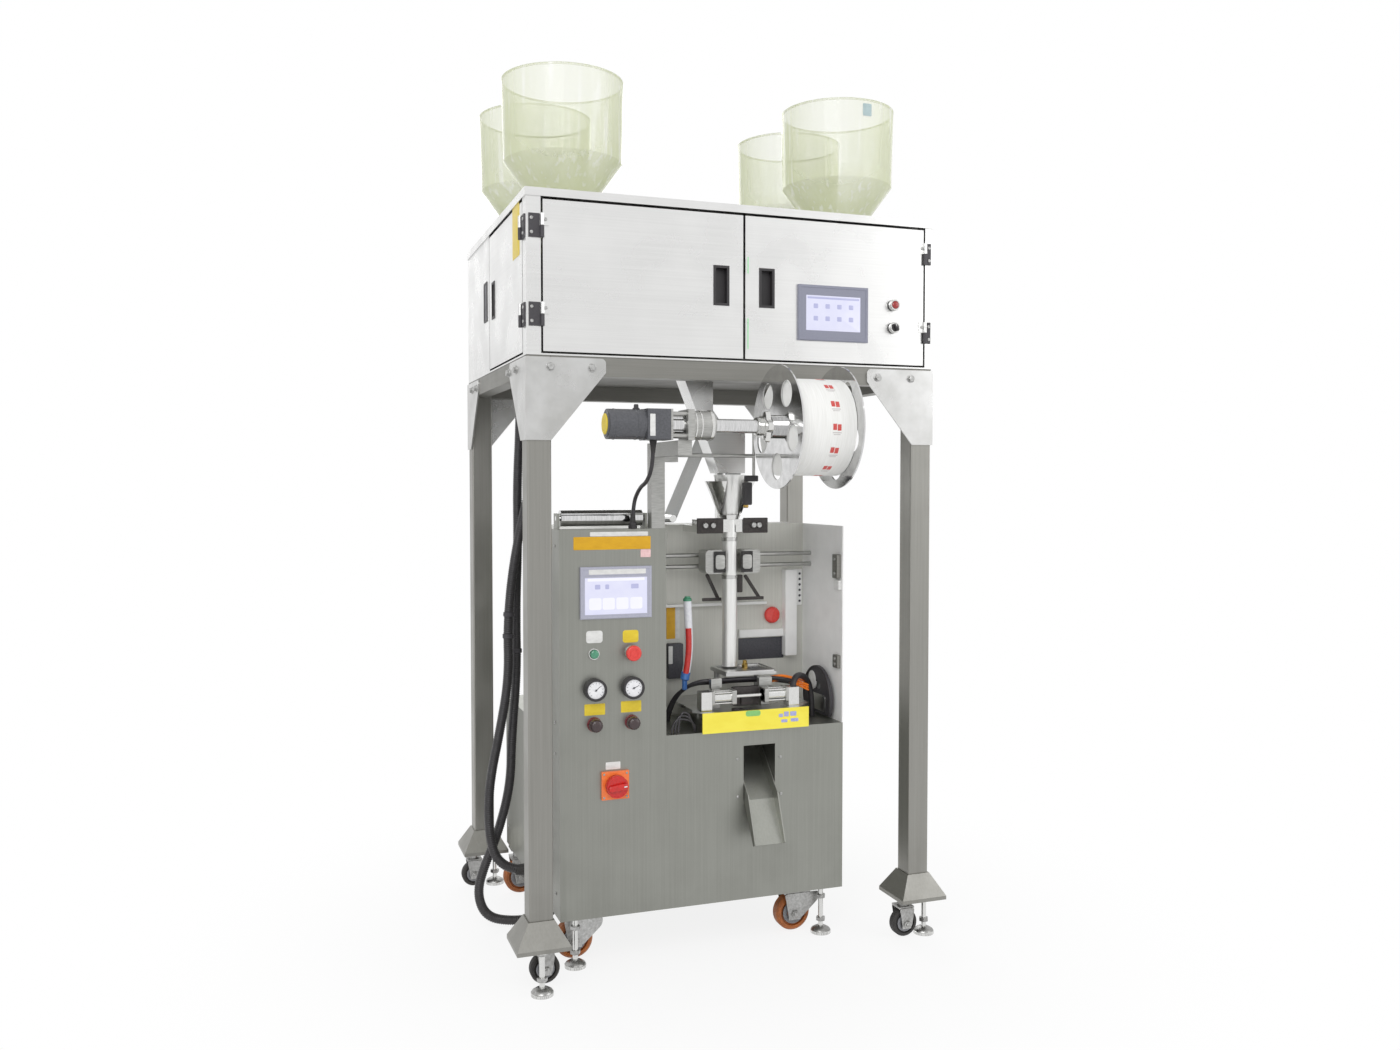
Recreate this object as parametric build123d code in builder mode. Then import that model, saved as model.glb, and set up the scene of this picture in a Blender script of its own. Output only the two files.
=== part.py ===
from build123d import *
import math
import os

# Tea bag packing machine under its weighing platform. All sizes are in millimetres.
# X runs to the right, Y to the back and Z up from the floor.
# The origin is on the floor, under the middle of the whole machine's outline.

# Platform
platform_width = 1108
platform_depth = 877
post_size = 60
post_corner_radius = 4
beam_size = 45
skirt_size = 134
skirt_top_size = 66
skirt_lip = 10
skirt_height = 68
skirt_floor = 5
gusset_sheet = 4
gusset_width = 200
gusset_height = 200
gusset_foot = 63
gusset_end = 34
gusset_corner_radius = 12

# Cabinet on the platform
cabinet_bottom = 1555
cabinet_height = 401
sheet = 3
roof_overhang = 3
roof_lip = 20
left_strip = 36
right_strip = 20
frame_depth = 41
frame_sill = 4
door_gap = 5
middle_gap = 6
door_lip_gap = 6
door_thickness = 18
side_door_length = 454
pull_width = 43
pull_height = 101
pull_rise = 144
pull_inset = 38
pull_flange = 4
pull_proud = 1.5
pull_wall = 2
hinge_height = 57
hinge_low_rise = 100
hinge_high_rise = 311
hinge_leaf = 30
hinge_sheet = 3
hinge_barrel_radius = 5
hinge_pin_radius = 2.5
hinge_axis_out = 5.5
hinge_tab = 14
hinge_half_gap = 0.5
running_clearance = 0.05
screen_inset = 195
screen_rise = 66
screen_width = 202
screen_height = 144
screen_proud = 6
screen_body_depth = 32
screen_body_border = 8
screen_glass_border = 22
screen_glass_depth = 1
control_inset = 118
door_button_rise = 169
door_selector_rise = 109
control_stem_radius = 9
control_cap_radius = 14
control_cap = 14

# Hoppers on the roof
hopper_inset = 154
hopper_front_inset = 265
hopper_back_inset = 272
hopper_rim_radius = 160
hopper_shoulder_radius = 155
hopper_neck_radius = 57
hopper_height = 344
hopper_cone_height = 133
hopper_neck_drop = 30
hopper_wall = 3
hopper_flange_radius = 80
hopper_flange_height = 4
seat_clearance = 0.5

# Lower machine
machine_inset = 96
machine_width = 791
machine_ahead = 80
machine_depth = 720
machine_bottom = 140
table_height = 595
column_height = 538
upper_depth = 390
column_width = 282
recess_depth = 257
wing_sheet = 3
outlet_width = 91
outlet_inset = 216
outlet_low_drop = 191
outlet_high_drop = 43
outlet_run = 205
outlet_back = 41
outlet_reach = 64
outlet_lip_drop = 104
outlet_sheet = 3
outlet_side_height = 34
outlet_lip_side_height = 14
outlet_floor_share = 0.9
outlet_side_clearance = 1.5

# Controls on the column, from the column's left edge and from the table or the column's top
panel_screen_inset = 53
panel_screen_drop = 227
panel_screen_width = 188
panel_screen_height = 132
button_left_inset = 89
button_right_inset = 188
button_rise = 222
start_button_proud = 10
start_button_length = 18
start_button_radius = 11
stop_radius = 20
stop_cap = 11
stop_stem_radius = 9
stop_standoff = 18
stop_stem = 24
stop_edge_radius = 5
press_clearance = 0.5
press_pocket = 14
gauge_rise = 133
gauge_radius = 28
gauge_proud = 22
knob_rise = 43
knob_radius = 19
knob_length = 26
knob_base_radius = 14
knob_base = 8
switch_inset = 143
switch_drop = 116
switch_plate = 72
switch_sheet = 8
switch_knob_radius = 28
switch_knob_depth = 20
switch_stem_radius = 9
switch_gap = 2
switch_stem_end = 1

# Casters and levelling feet
platform_caster_height = 112
platform_wheel_radius = 37.5
platform_wheel_width = 26
platform_wheel_lift = 2.5
machine_wheel_radius = 50
machine_wheel_width = 34
machine_wheel_lift = 3
fork_sheet = 4
fork_clearance = 5
fork_plate = 5
axle_radius = 6
axle_clearance = 0.25
pad_radius = 28
pad_height = 8
pad_cone_height = 8
stud_radius = 7
stud_nut_radius = 14
stud_nut_height = 9
machine_foot_plate = 60
machine_foot_sheet = 6
platform_foot_offset = 36
platform_wheel_offset = 29
turned_wheel_offset_x = 20
turned_wheel_offset_y = 31
foot_left_inset = 51
foot_right_inset = 40
foot_front_inset = 52
foot_back_left_inset = 160
foot_back_right_inset = 44
wheel_front_inset = 100
wheel_front_left_inset = 60
wheel_front_left_row = 114
wheel_front_right_inset = 109
wheel_back_left_inset = 28
wheel_back_left_row = 62
wheel_back_right_inset = 118
wheel_back_right_row = 44

# Reel with the film
reel_ahead = 108
reel_drop = 166
reel_inset = 228
shaft_reach = 172
flange_radius = 154
flange_sheet = 4
flange_hole_radius = 33
flange_hole_circle = 98
flange_hole_count = 5
roll_radius = 121
roll_width = 156
roll_clearance = 1
core_radius = 38
core_clearance = 0.3
shaft_radius = 17
shaft_end = 12
hub_radius = 29
hub_length = 22
motor_radius = 36
motor_length = 91
gearbox_size = 74
gearbox_length = 58
gearbox_corner_radius = 5
adapter_sheet = 5
adapter_rod_radius = 5
adapter_rod_spread = 26
adapter_length = 38
coupling_radius = 23
coupling_gap = 5
bearing_radius = 35
bearing_length = 74
stand_size = 36
stand_setback = 4
rod_radius = 5
rod_reach = 255
rod_drop = 30
rod_block = 36
sensor_rod_radius = 4
sensor_rod_low = 55
sensor_rod_length = 130
stand_gap = 2

# Roller on the column
roller_radius = 21
roller_setback = 50
roller_height = 27
roller_bracket = 6
roller_end_gap = 5
roller_pin_radius = 6

# Bag making
tube_inset = 238
tube_ahead_of_back = 97
tube_radius = 21
tube_wall = 1.5
tube_end_gap = 6
funnel_gap = 5
funnel_height = 118
funnel_radius = 44.5
collar_height = 105
collar_front_rise = 12
collar_gap = 2
collar_radius = 70
collar_wall = 3
holder_drop = 18
holder_rise = 17
holder_reach = 103
holder_depth = 40
holder_arm = 12
collar_front_width = 64
puller_width = 55
puller_depth = 56
puller_drop = 132
puller_height = 65
puller_gap = 5
puller_corner_radius = 12
puller_rod_radius = 6
puller_rod_behind = 44
tray_rise = 46
tray_post_radius = 10
tray_post_inset = 70
tray_left_reach = 152
tray_right_reach = 188
tray_front_overhang = 14
tray_sheet = 8
tray_corner = 55
top_plate_rise = 133
top_plate_half_width = 74
top_plate_half_depth = 61
top_plate_shift = 28
top_plate_ahead = 32
pillar_inset = 14
pillar_radius = 8
front_plate_left_reach = 144
front_plate_right_reach = 160
front_plate_sheet = 4
front_plate_height = 54
jaw_radius = 16
jaw_rise = 87
jaw_ahead = 140
jaw_inner = 40
jaw_length = 70
jaw_block_length = 30
jaw_block_margin = 2
jaw_rod_radius = 5
jaw_guard_radius = 88
jaw_guard_sheet = 8
jaw_guard_rise = 52
jaw_guard_floor_gap = 8
jaw_guard_standoff = 10
jaw_guard_stem_radius = 12
jaw_guard_window_rise = 32
jaw_guard_window = 44
jaw_guard_behind_front = 122

# Chute from the cabinet down to the forming tube
chute_wall = 2.5
chute_depth = 70
chute_top_reach = 154
chute_mouth_width = 92
chute_bend_drop = 107
chute_low_reach = 44
chute_box_reach = 28
chute_box_width = 60
chute_box_drop = 155
chute_gap = 4
chute_collar = 2
chute_flange = 20
chute_clearance = 1

# Hoses between the cabinet and the lower machine
hose_radius = 12.5
hose_row = 104
hose_row_gap = 30
gland_wall = 6.5
gland_length = 18
gland_clearance = 0.3
motor_cable_radius = 5

# Film on its way from the column to the collar
film_width = 120
film_thickness = 1
film_behind_tube = 50
film_roller_radius = 10
film_clearance = 0.3
film_low_reach = 150
film_low_rise = 19
film_top_left_reach = 17
film_top_right_reach = 42
film_top_drop = 157
film_end_gap = 8
film_side_gap = 5
film_plate_edge = 14
film_post = 20
film_plate = 6
film_tail = 30

# Places worked out from the sizes above
reach_front = reel_ahead + flange_radius
reach_back = platform_depth + (skirt_size - post_size) / 2
front_y = (reach_front - reach_back) / 2
back_y = front_y + platform_depth
half_width = platform_width / 2
cabinet_top = cabinet_bottom + cabinet_height
post_x = half_width - post_size / 2
post_rows = (front_y + post_size / 2, back_y - post_size / 2)
post_bottom = platform_caster_height + skirt_floor
machine_left = machine_inset - half_width
machine_right = machine_left + machine_width
machine_top = table_height + column_height
machine_front = front_y + machine_ahead
machine_back = machine_front + machine_depth
upper_back = machine_front + upper_depth
recess_left = machine_left + column_width
recess_back = machine_front + recess_depth
tube_y = recess_back - tube_ahead_of_back
reel_y = front_y - reel_ahead
pull_bottom = cabinet_bottom + pull_rise
hinge_levels = (cabinet_bottom + hinge_low_rise, cabinet_bottom + hinge_high_rise)
door_screen_left = half_width - screen_inset - screen_width
door_screen_bottom = cabinet_bottom + screen_rise
door_control_x = half_width - control_inset
hopper_x = half_width - hopper_inset
hopper_rows = (hopper_front_inset, platform_depth - hopper_back_inset)
hopper_top = cabinet_top + hopper_height
hopper_shoulder = cabinet_top + hopper_cone_height
outlet_x = recess_left + outlet_inset
outlet_low = table_height - outlet_low_drop
outlet_high = table_height - outlet_high_drop
panel_screen_bottom = machine_top - panel_screen_drop
button_height = table_height + button_rise
gauge_height = table_height + gauge_rise
knob_height = table_height + knob_rise
switch_height = table_height - switch_drop
reel_height = cabinet_bottom - reel_drop
reel_left = recess_left + reel_inset
tube_x = recess_left + tube_inset
top_plate_height = table_height + top_plate_rise
tube_bottom = top_plate_height + tray_sheet + tube_end_gap
holder_low = machine_top - holder_drop
holder_high = machine_top + holder_rise
funnel_bottom = holder_high + funnel_gap
funnel_top = funnel_bottom + funnel_height
collar_top = holder_high + collar_height
puller_low = machine_top - puller_drop
puller_high = puller_low + puller_height
tray_left = tube_x - tray_left_reach
tray_right = tube_x + tray_right_reach
front_plate_left = tube_x - front_plate_left_reach
front_plate_right = tube_x + front_plate_right_reach
jaw_height = table_height + jaw_rise
jaw_guard_height = table_height + jaw_guard_rise
chute_top_left = tube_x - chute_top_reach
chute_top_right = chute_top_left + chute_mouth_width
chute_bend = cabinet_bottom - chute_bend_drop
chute_bottom_left = tube_x - chute_low_reach
chute_box_left = tube_x - chute_box_reach
chute_box_right = chute_box_left + chute_box_width
chute_box_top = cabinet_bottom - chute_box_drop
chute_bottom = funnel_top + chute_gap
film_row = tube_y + film_behind_tube
film_low = (tube_x - film_low_reach, machine_top + film_low_rise)
film_top_left = (tube_x - film_top_left_reach, cabinet_bottom - film_top_drop)
film_top_right = (tube_x + film_top_right_reach, cabinet_bottom - film_top_drop)
film_end = collar_top + film_end_gap
up = Vector(0, 0, 1)

os.makedirs("parts", exist_ok=True)


def write(builder, name):
    builder.part.label = name
    export_step(builder.part, f"parts/{name}.step")


def block(x, y, z, mode=Mode.ADD):
    """A box between two values on each axis."""
    centre = ((x[0] + x[1]) / 2, (y[0] + y[1]) / 2, (z[0] + z[1]) / 2)
    with Locations(centre):
        Box(abs(x[1] - x[0]), abs(y[1] - y[0]), abs(z[1] - z[0]), mode=mode)


def rod(start, direction, radius, length, mode=Mode.ADD):
    """A round bar that starts at a point and runs in one direction."""
    with Locations(Plane(origin=start, z_dir=direction)):
        Cylinder(radius, length, align=(Align.CENTER, Align.CENTER, Align.MIN), mode=mode)


def upright_plane(origin, along):
    """A plane whose X is the level direction given and whose Y is up."""
    return Plane(origin=origin, x_dir=along, z_dir=Vector(along).cross(up))


def wall_block(base, along, out, run, depth, z, mode=Mode.ADD):
    """A box beside a wall, where run is measured along the wall and depth out of it."""
    low = [base[i] + along[i] * run[0] + out[i] * depth[0] for i in range(2)]
    high = [base[i] + along[i] * run[1] + out[i] * depth[1] for i in range(2)]
    x_pair = (min(low[0], high[0]), max(low[0], high[0]))
    y_pair = (min(low[1], high[1]), max(low[1], high[1]))
    block(x_pair, y_pair, z, mode=mode)


# Platform posts with their beams
corners = [(side * post_x, row) for row in post_rows for side in (-1, 1)]

with BuildPart() as platform_posts:
    with BuildSketch(Plane.XY.offset(post_bottom)):
        with Locations(*corners):
            RectangleRounded(post_size, post_size, post_corner_radius)
    extrude(amount=cabinet_bottom - post_bottom)
write(platform_posts, "platform_posts")

beam_z = (cabinet_bottom - beam_size, cabinet_bottom)
beam_end_x = half_width - post_size
beam_rows = (front_y + post_size, back_y - post_size)
with BuildPart() as platform_beams:
    block((-beam_end_x, beam_end_x), (front_y, front_y + beam_size), beam_z)
    block((-beam_end_x, beam_end_x), (back_y - beam_size, back_y), beam_z)
    block((-half_width, -half_width + beam_size), beam_rows, beam_z)
    block((half_width - beam_size, half_width), beam_rows, beam_z)
write(platform_beams, "platform_beams")

# Folded gussets that wrap each top corner
gusset_outline = [
    (0, 0),
    (gusset_width, 0),
    (gusset_width, -gusset_end),
    (gusset_foot, -gusset_height),
    (0, -gusset_height),
]
with BuildPart() as corner_gussets:
    for side in (-1, 1):
        for face_y, back in ((front_y, -1), (back_y, 1)):
            corner = Vector(side * half_width, face_y, cabinet_bottom - 2)
            outer = corner + Vector(side * gusset_sheet, back * gusset_sheet, 0)
            for along, start in (
                (Vector(-side, 0, 0), Vector(outer.X, corner.Y, corner.Z)),
                (Vector(0, -back, 0), Vector(corner.X, outer.Y, corner.Z)),
            ):
                plane = upright_plane(start, along)
                outward = outer - corner
                sign = 1 if plane.z_dir.dot(outward) > 0 else -1
                with BuildSketch(plane):
                    with BuildLine():
                        Polyline(*gusset_outline, close=True)
                    make_face()
                    tip = vertices().sort_by(Axis.X)[-2:].sort_by(Axis.Y)[-1]
                    fillet(tip, gusset_corner_radius)
                extrude(amount=sign * gusset_sheet)
write(corner_gussets, "corner_gussets")

# Flared skirts round the foot of each post
with BuildPart() as post_skirts:
    for corner in corners:
        with BuildSketch(Plane.XY.offset(platform_caster_height)):
            with Locations(corner):
                Rectangle(skirt_size, skirt_size)
        extrude(amount=skirt_lip)
        with BuildSketch(Plane.XY.offset(platform_caster_height + skirt_lip)):
            with Locations(corner):
                Rectangle(skirt_size, skirt_size)
        with BuildSketch(Plane.XY.offset(platform_caster_height + skirt_height)):
            with Locations(corner):
                Rectangle(skirt_top_size, skirt_top_size)
        loft()
    with BuildSketch(Plane.XY.offset(post_bottom)):
        with Locations(*corners):
            RectangleRounded(post_size, post_size, post_corner_radius)
    extrude(amount=skirt_height, mode=Mode.SUBTRACT)
write(post_skirts, "post_skirts")

# Levelling feet and casters. Each entry is a place on the floor.
platform_feet = []
platform_wheels_at = []
for x, y in corners:
    if x < 0 and y == post_rows[0]:
        platform_feet.append((x, y - platform_foot_offset))
        platform_wheels_at.append((x + turned_wheel_offset_x, y + turned_wheel_offset_y))
    else:
        platform_feet.append((x + platform_foot_offset, y))
        platform_wheels_at.append((x - platform_wheel_offset, y))

machine_feet = [
    (machine_left + foot_left_inset, machine_front + foot_front_inset),
    (machine_right - foot_right_inset, machine_front + foot_front_inset),
    (machine_left + foot_left_inset, machine_back - foot_back_left_inset),
    (machine_right - foot_right_inset, machine_back - foot_back_right_inset),
]
machine_wheels_at = [
    (machine_left + wheel_front_left_inset, machine_front + wheel_front_left_row),
    (machine_right - wheel_front_right_inset, machine_front + wheel_front_inset),
    (machine_left + wheel_back_left_inset, machine_back - wheel_back_left_row),
    (machine_right - wheel_back_right_inset, machine_back - wheel_back_right_row),
]


def foot(x, y, top):
    """A levelling foot: a round pad with a cone, its threaded stud and a lock nut."""
    rod((x, y, 0), (0, 0, 1), pad_radius, pad_height)
    with Locations((x, y, pad_height)):
        Cone(pad_radius, stud_nut_radius, pad_cone_height, align=(Align.CENTER, Align.CENTER, Align.MIN))
    rod((x, y, pad_height), (0, 0, 1), stud_radius, top - pad_height)
    with BuildSketch(Plane.XY.offset(top - stud_nut_height)) as nut:
        with Locations((x, y)):
            RegularPolygon(stud_nut_radius, 6)
    extrude(nut.sketch, amount=stud_nut_height)


with BuildPart() as levelling_feet:
    for x, y in platform_feet:
        foot(x, y, platform_caster_height)
    for x, y in machine_feet:
        half = machine_foot_plate / 2
        foot(x, y, machine_bottom - machine_foot_sheet)
        block((x - half, x + half), (y - half, y + half), (machine_bottom - machine_foot_sheet, machine_bottom))
write(levelling_feet, "levelling_feet")


def fork(x, y, top, radius, width, lift):
    """A caster's swivel head, crown, two cheeks and axle, over a wheel that stands at x, y."""
    axle_z = lift + radius
    crown_low = axle_z + radius + fork_clearance
    cheek_in = width / 2 + fork_clearance
    cheek_out = cheek_in + fork_sheet
    reach = radius * 0.6
    block((x - reach, x + reach), (y - cheek_out, y + cheek_out), (top - fork_plate, top))
    rod((x, y, crown_low), (0, 0, 1), radius * 0.42, top - crown_low)
    block((x - reach, x + reach), (y - cheek_out, y + cheek_out), (crown_low, crown_low + fork_plate))
    for side in (-1, 1):
        cheek = (y + side * cheek_in, y + side * cheek_out)
        block((x - reach * 0.6, x + reach * 0.6), cheek, (axle_z - reach * 0.6, crown_low))
    rod((x, y - cheek_out - 3, axle_z), (0, 1, 0), axle_radius, 2 * cheek_out + 6)


def wheel(x, y, radius, width, lift):
    """A wheel with a rounded tread, thin web and hub, turned about its axle along Y."""
    centre_z = lift + radius
    bore = axle_radius + axle_clearance
    hub = radius * 0.36
    rim = radius * 0.74
    half = width / 2
    web = width * 0.28
    crown = width * 0.16
    outline = [
        (bore, -half - 3),
        (hub, -half - 3),
        (hub, -web),
        (rim, -web),
        (rim, -half),
        (radius - crown, -half),
        (radius, -half + crown),
        (radius, half - crown),
        (radius - crown, half),
        (rim, half),
        (rim, web),
        (hub, web),
        (hub, half + 3),
        (bore, half + 3),
    ]
    with BuildSketch(Plane(origin=(x, y, centre_z), x_dir=(1, 0, 0), z_dir=(0, 0, 1))) as section:
        with BuildLine():
            Polyline(*outline, close=True)
        make_face()
    revolve(section.sketch, axis=Axis((x, y, centre_z), (0, 1, 0)))


with BuildPart() as caster_forks:
    for x, y in platform_wheels_at:
        fork(x, y, platform_caster_height, platform_wheel_radius, platform_wheel_width, platform_wheel_lift)
    for x, y in machine_wheels_at:
        fork(x, y, machine_bottom, machine_wheel_radius, machine_wheel_width, machine_wheel_lift)
write(caster_forks, "caster_forks")

with BuildPart() as platform_wheels:
    for x, y in platform_wheels_at:
        wheel(x, y, platform_wheel_radius, platform_wheel_width, platform_wheel_lift)
write(platform_wheels, "platform_wheels")

with BuildPart() as machine_wheels:
    for x, y in machine_wheels_at:
        wheel(x, y, machine_wheel_radius, machine_wheel_width, machine_wheel_lift)
write(machine_wheels, "machine_wheels")

# Cabinet shell
shell_low = cabinet_bottom + sheet
shell_high = cabinet_top - sheet
chute_half = chute_depth / 2
hopper_places = [(side * hopper_x, front_y + row) for row in hopper_rows for side in (-1, 1)]
door_low = shell_low + frame_sill + door_gap
door_high = cabinet_top - roof_lip - door_lip_gap
left_strip_edge = -half_width + left_strip
right_strip_edge = half_width - right_strip
side_door_front = front_y + frame_depth + door_gap
side_door_back = side_door_front + side_door_length
side_panel_front = side_door_back + door_gap
header_low = door_high + door_gap + 1

with BuildPart() as cabinet_floor:
    block((-half_width, half_width), (front_y, back_y), (cabinet_bottom, shell_low))
    chute_hole_x = (chute_top_left - chute_clearance, chute_top_right + chute_clearance)
    chute_hole_y = (tube_y - chute_half - chute_clearance, tube_y + chute_half + chute_clearance)
    block(chute_hole_x, chute_hole_y, (cabinet_bottom - 1, shell_low + 1), mode=Mode.SUBTRACT)
write(cabinet_floor, "cabinet_floor")

roof_x = (-half_width - roof_overhang, half_width + roof_overhang)
roof_y = (front_y - roof_overhang, back_y + roof_overhang)
with BuildPart() as cabinet_roof:
    block(roof_x, roof_y, (cabinet_top - roof_lip, cabinet_top))
    block((-half_width, half_width), (front_y, back_y), (cabinet_top - roof_lip, shell_high), mode=Mode.SUBTRACT)
    for x, y in hopper_places:
        neck = hopper_neck_radius + seat_clearance
        rod((x, y, shell_high - 1), (0, 0, 1), neck, sheet + 2, mode=Mode.SUBTRACT)
write(cabinet_roof, "cabinet_roof")

with BuildPart() as cabinet_walls:
    block((-half_width, half_width), (back_y - sheet, back_y), (shell_low, shell_high))
    for side in (-1, 1):
        wall_x = sorted((side * half_width, side * (half_width - sheet)))
        wall_y = (front_y + frame_depth, back_y)
        door_y = (front_y + frame_depth, side_panel_front)
        block(wall_x, wall_y, (shell_low, shell_high))
        block(wall_x, door_y, (shell_low + frame_sill, header_low), mode=Mode.SUBTRACT)
write(cabinet_walls, "cabinet_walls")

with BuildPart() as cabinet_front_frame:
    block((-half_width, half_width), (front_y, front_y + frame_depth), (shell_low, shell_high))
    block(
        (left_strip_edge, right_strip_edge),
        (front_y - 1, front_y + frame_depth + 1),
        (shell_low + frame_sill, header_low),
        mode=Mode.SUBTRACT,
    )
write(cabinet_front_frame, "cabinet_front_frame")

# Doors. Each has a place on a wall: the point where its hinge strip ends, the direction
# from there across the door, and the direction out of the wall.
door_span = (right_strip_edge - left_strip_edge - 2 * door_gap - middle_gap) / 2
doors = {
    "front_left": ((left_strip_edge, front_y), (1, 0), (0, -1), door_span),
    "front_right": ((right_strip_edge, front_y), (-1, 0), (0, -1), door_span),
    "left_side": ((-half_width, front_y + frame_depth), (0, 1), (-1, 0), side_door_length),
    "right_side": ((half_width, front_y + frame_depth), (0, 1), (1, 0), side_door_length),
}
pull_z = (pull_bottom, pull_bottom + pull_height)


def hinge_axis(base, along, out):
    """The point on the floor under the hinge pins of a door."""
    reach = door_gap / 2
    return [base[i] + along[i] * reach + out[i] * hinge_axis_out for i in range(2)]


def door_panel(base, along, out, span):
    """A door pan with a hole for its pull and the upper knuckle of each hinge."""
    run = (door_gap, door_gap + span)
    wall_block(base, along, out, run, (-door_thickness, 0), (door_low, door_high))
    hole_start = door_gap + span - pull_inset - pull_width
    hole = (hole_start + pull_flange, hole_start + pull_width - pull_flange)
    hole_z = (pull_z[0] + pull_flange, pull_z[1] - pull_flange)
    wall_block(base, along, out, hole, (-door_thickness - 1, 1), hole_z, mode=Mode.SUBTRACT)
    pin_x, pin_y = hinge_axis(base, along, out)
    for level in hinge_levels:
        tab_z = (level + hinge_half_gap, level + hinge_height / 2)
        tab = (door_gap / 2, door_gap + hinge_tab)
        wall_block(base, along, out, tab, (0, hinge_sheet), tab_z)
        rod((pin_x, pin_y, tab_z[0]), (0, 0, 1), hinge_barrel_radius, tab_z[1] - tab_z[0])
        bore = hinge_pin_radius + running_clearance
        rod((pin_x, pin_y, tab_z[0] - 1), (0, 0, 1), bore, hinge_height, mode=Mode.SUBTRACT)


def door_pull(base, along, out, start):
    """A recessed pull: a black cup with a thin flange that lies on the panel."""
    end = start + pull_width
    cup = (start + pull_flange + seat_clearance, end - pull_flange - seat_clearance)
    cup_z = (pull_z[0] + pull_flange + seat_clearance, pull_z[1] - pull_flange - seat_clearance)
    inner = (cup[0] + pull_wall, cup[1] - pull_wall)
    inner_z = (cup_z[0] + pull_wall, cup_z[1] - pull_wall)
    wall_block(base, along, out, (start, end), (0, pull_proud), pull_z)
    wall_block(base, along, out, cup, (-door_thickness, 0), cup_z)
    depth = (-door_thickness + pull_wall, pull_proud + 1)
    wall_block(base, along, out, inner, depth, inner_z, mode=Mode.SUBTRACT)


with BuildPart() as front_left_door:
    door_panel(*doors["front_left"])
write(front_left_door, "front_left_door")

screen_x = (door_screen_left, door_screen_left + screen_width)
screen_z = (door_screen_bottom, door_screen_bottom + screen_height)
body_x = (screen_x[0] + screen_body_border, screen_x[1] - screen_body_border)
body_z = (screen_z[0] + screen_body_border, screen_z[1] - screen_body_border)
control_levels = (cabinet_bottom + door_button_rise, cabinet_bottom + door_selector_rise)

with BuildPart() as front_right_door:
    door_panel(*doors["front_right"])
    through = (front_y - 1, front_y + door_thickness + 1)
    hole_x = (body_x[0] - 1, body_x[1] + 1)
    hole_z = (body_z[0] - 1, body_z[1] + 1)
    block(hole_x, through, hole_z, mode=Mode.SUBTRACT)
    for level in control_levels:
        stem_hole = control_stem_radius + seat_clearance
        rod((door_control_x, through[0], level), (0, 1, 0), stem_hole, door_thickness + 2, mode=Mode.SUBTRACT)
write(front_right_door, "front_right_door")

with BuildPart() as left_side_door:
    door_panel(*doors["left_side"])
write(left_side_door, "left_side_door")

with BuildPart() as right_side_door:
    door_panel(*doors["right_side"])
write(right_side_door, "right_side_door")

for door_name, (base, along, out, span) in doors.items():
    with BuildPart() as pull:
        door_pull(base, along, out, door_gap + span - pull_inset - pull_width)
    write(pull, door_name + "_pull")

# The fixed half of each hinge: a leaf on the strip, the lower knuckle and the pin
leaf_edge = door_gap / 2 - hinge_barrel_radius - hinge_half_gap
with BuildPart() as cabinet_hinges:
    for base, along, out, span in doors.values():
        strip = min(hinge_leaf, right_strip - 4) if base[0] > 0 and out[1] < 0 else hinge_leaf
        pin_x, pin_y = hinge_axis(base, along, out)
        for level in hinge_levels:
            leaf_z = (level - hinge_height / 2, level + hinge_height / 2)
            knuckle = (leaf_z[0], level)
            wall_block(base, along, out, (-strip, leaf_edge), (0, hinge_sheet), leaf_z)
            wall_block(base, along, out, (leaf_edge, door_gap / 2), (0, hinge_sheet), knuckle)
            rod((pin_x, pin_y, knuckle[0]), (0, 0, 1), hinge_barrel_radius, hinge_height / 2)
            rod((pin_x, pin_y, leaf_z[0]), (0, 0, 1), hinge_pin_radius, hinge_height)
write(cabinet_hinges, "cabinet_hinges")

with BuildPart() as door_screen:
    block(screen_x, (front_y - screen_proud, front_y), screen_z)
    block(body_x, (front_y, front_y + screen_body_depth), body_z)
    glass_x = (screen_x[0] + screen_glass_border, screen_x[1] - screen_glass_border)
    glass_z = (screen_z[0] + screen_glass_border + 4, screen_z[1] - screen_glass_border - 4)
    glass_y = (front_y - screen_proud - 1, front_y - screen_proud + screen_glass_depth)
    block(glass_x, glass_y, glass_z, mode=Mode.SUBTRACT)
write(door_screen, "door_screen")

with BuildPart() as door_controls:
    for level in control_levels:
        rod((door_control_x, front_y - control_cap, level), (0, 1, 0), control_cap_radius, control_cap)
        rod((door_control_x, front_y, level), (0, 1, 0), control_stem_radius, door_thickness)
write(door_controls, "door_controls")

# Hoppers
with BuildPart() as hoppers:
    for x, y in hopper_places:
        wall = hopper_wall
        neck_low = cabinet_top - hopper_neck_drop
        outline = [
            (hopper_neck_radius - wall, neck_low),
            (hopper_neck_radius, neck_low),
            (hopper_neck_radius, cabinet_top),
            (hopper_flange_radius, cabinet_top),
            (hopper_flange_radius, cabinet_top + hopper_flange_height),
            (hopper_neck_radius + wall, cabinet_top + hopper_flange_height),
            (hopper_shoulder_radius, hopper_shoulder),
            (hopper_rim_radius, hopper_top),
            (hopper_rim_radius - wall, hopper_top),
            (hopper_shoulder_radius - wall, hopper_shoulder + wall / 2),
            (hopper_neck_radius - wall, cabinet_top + hopper_flange_height),
        ]
        with BuildSketch(upright_plane((x, y, 0), (1, 0, 0))):
            with BuildLine():
                Polyline(*outline, close=True)
            make_face()
        revolve(axis=Axis((x, y, 0), (0, 0, 1)))
write(hoppers, "hoppers")

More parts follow.
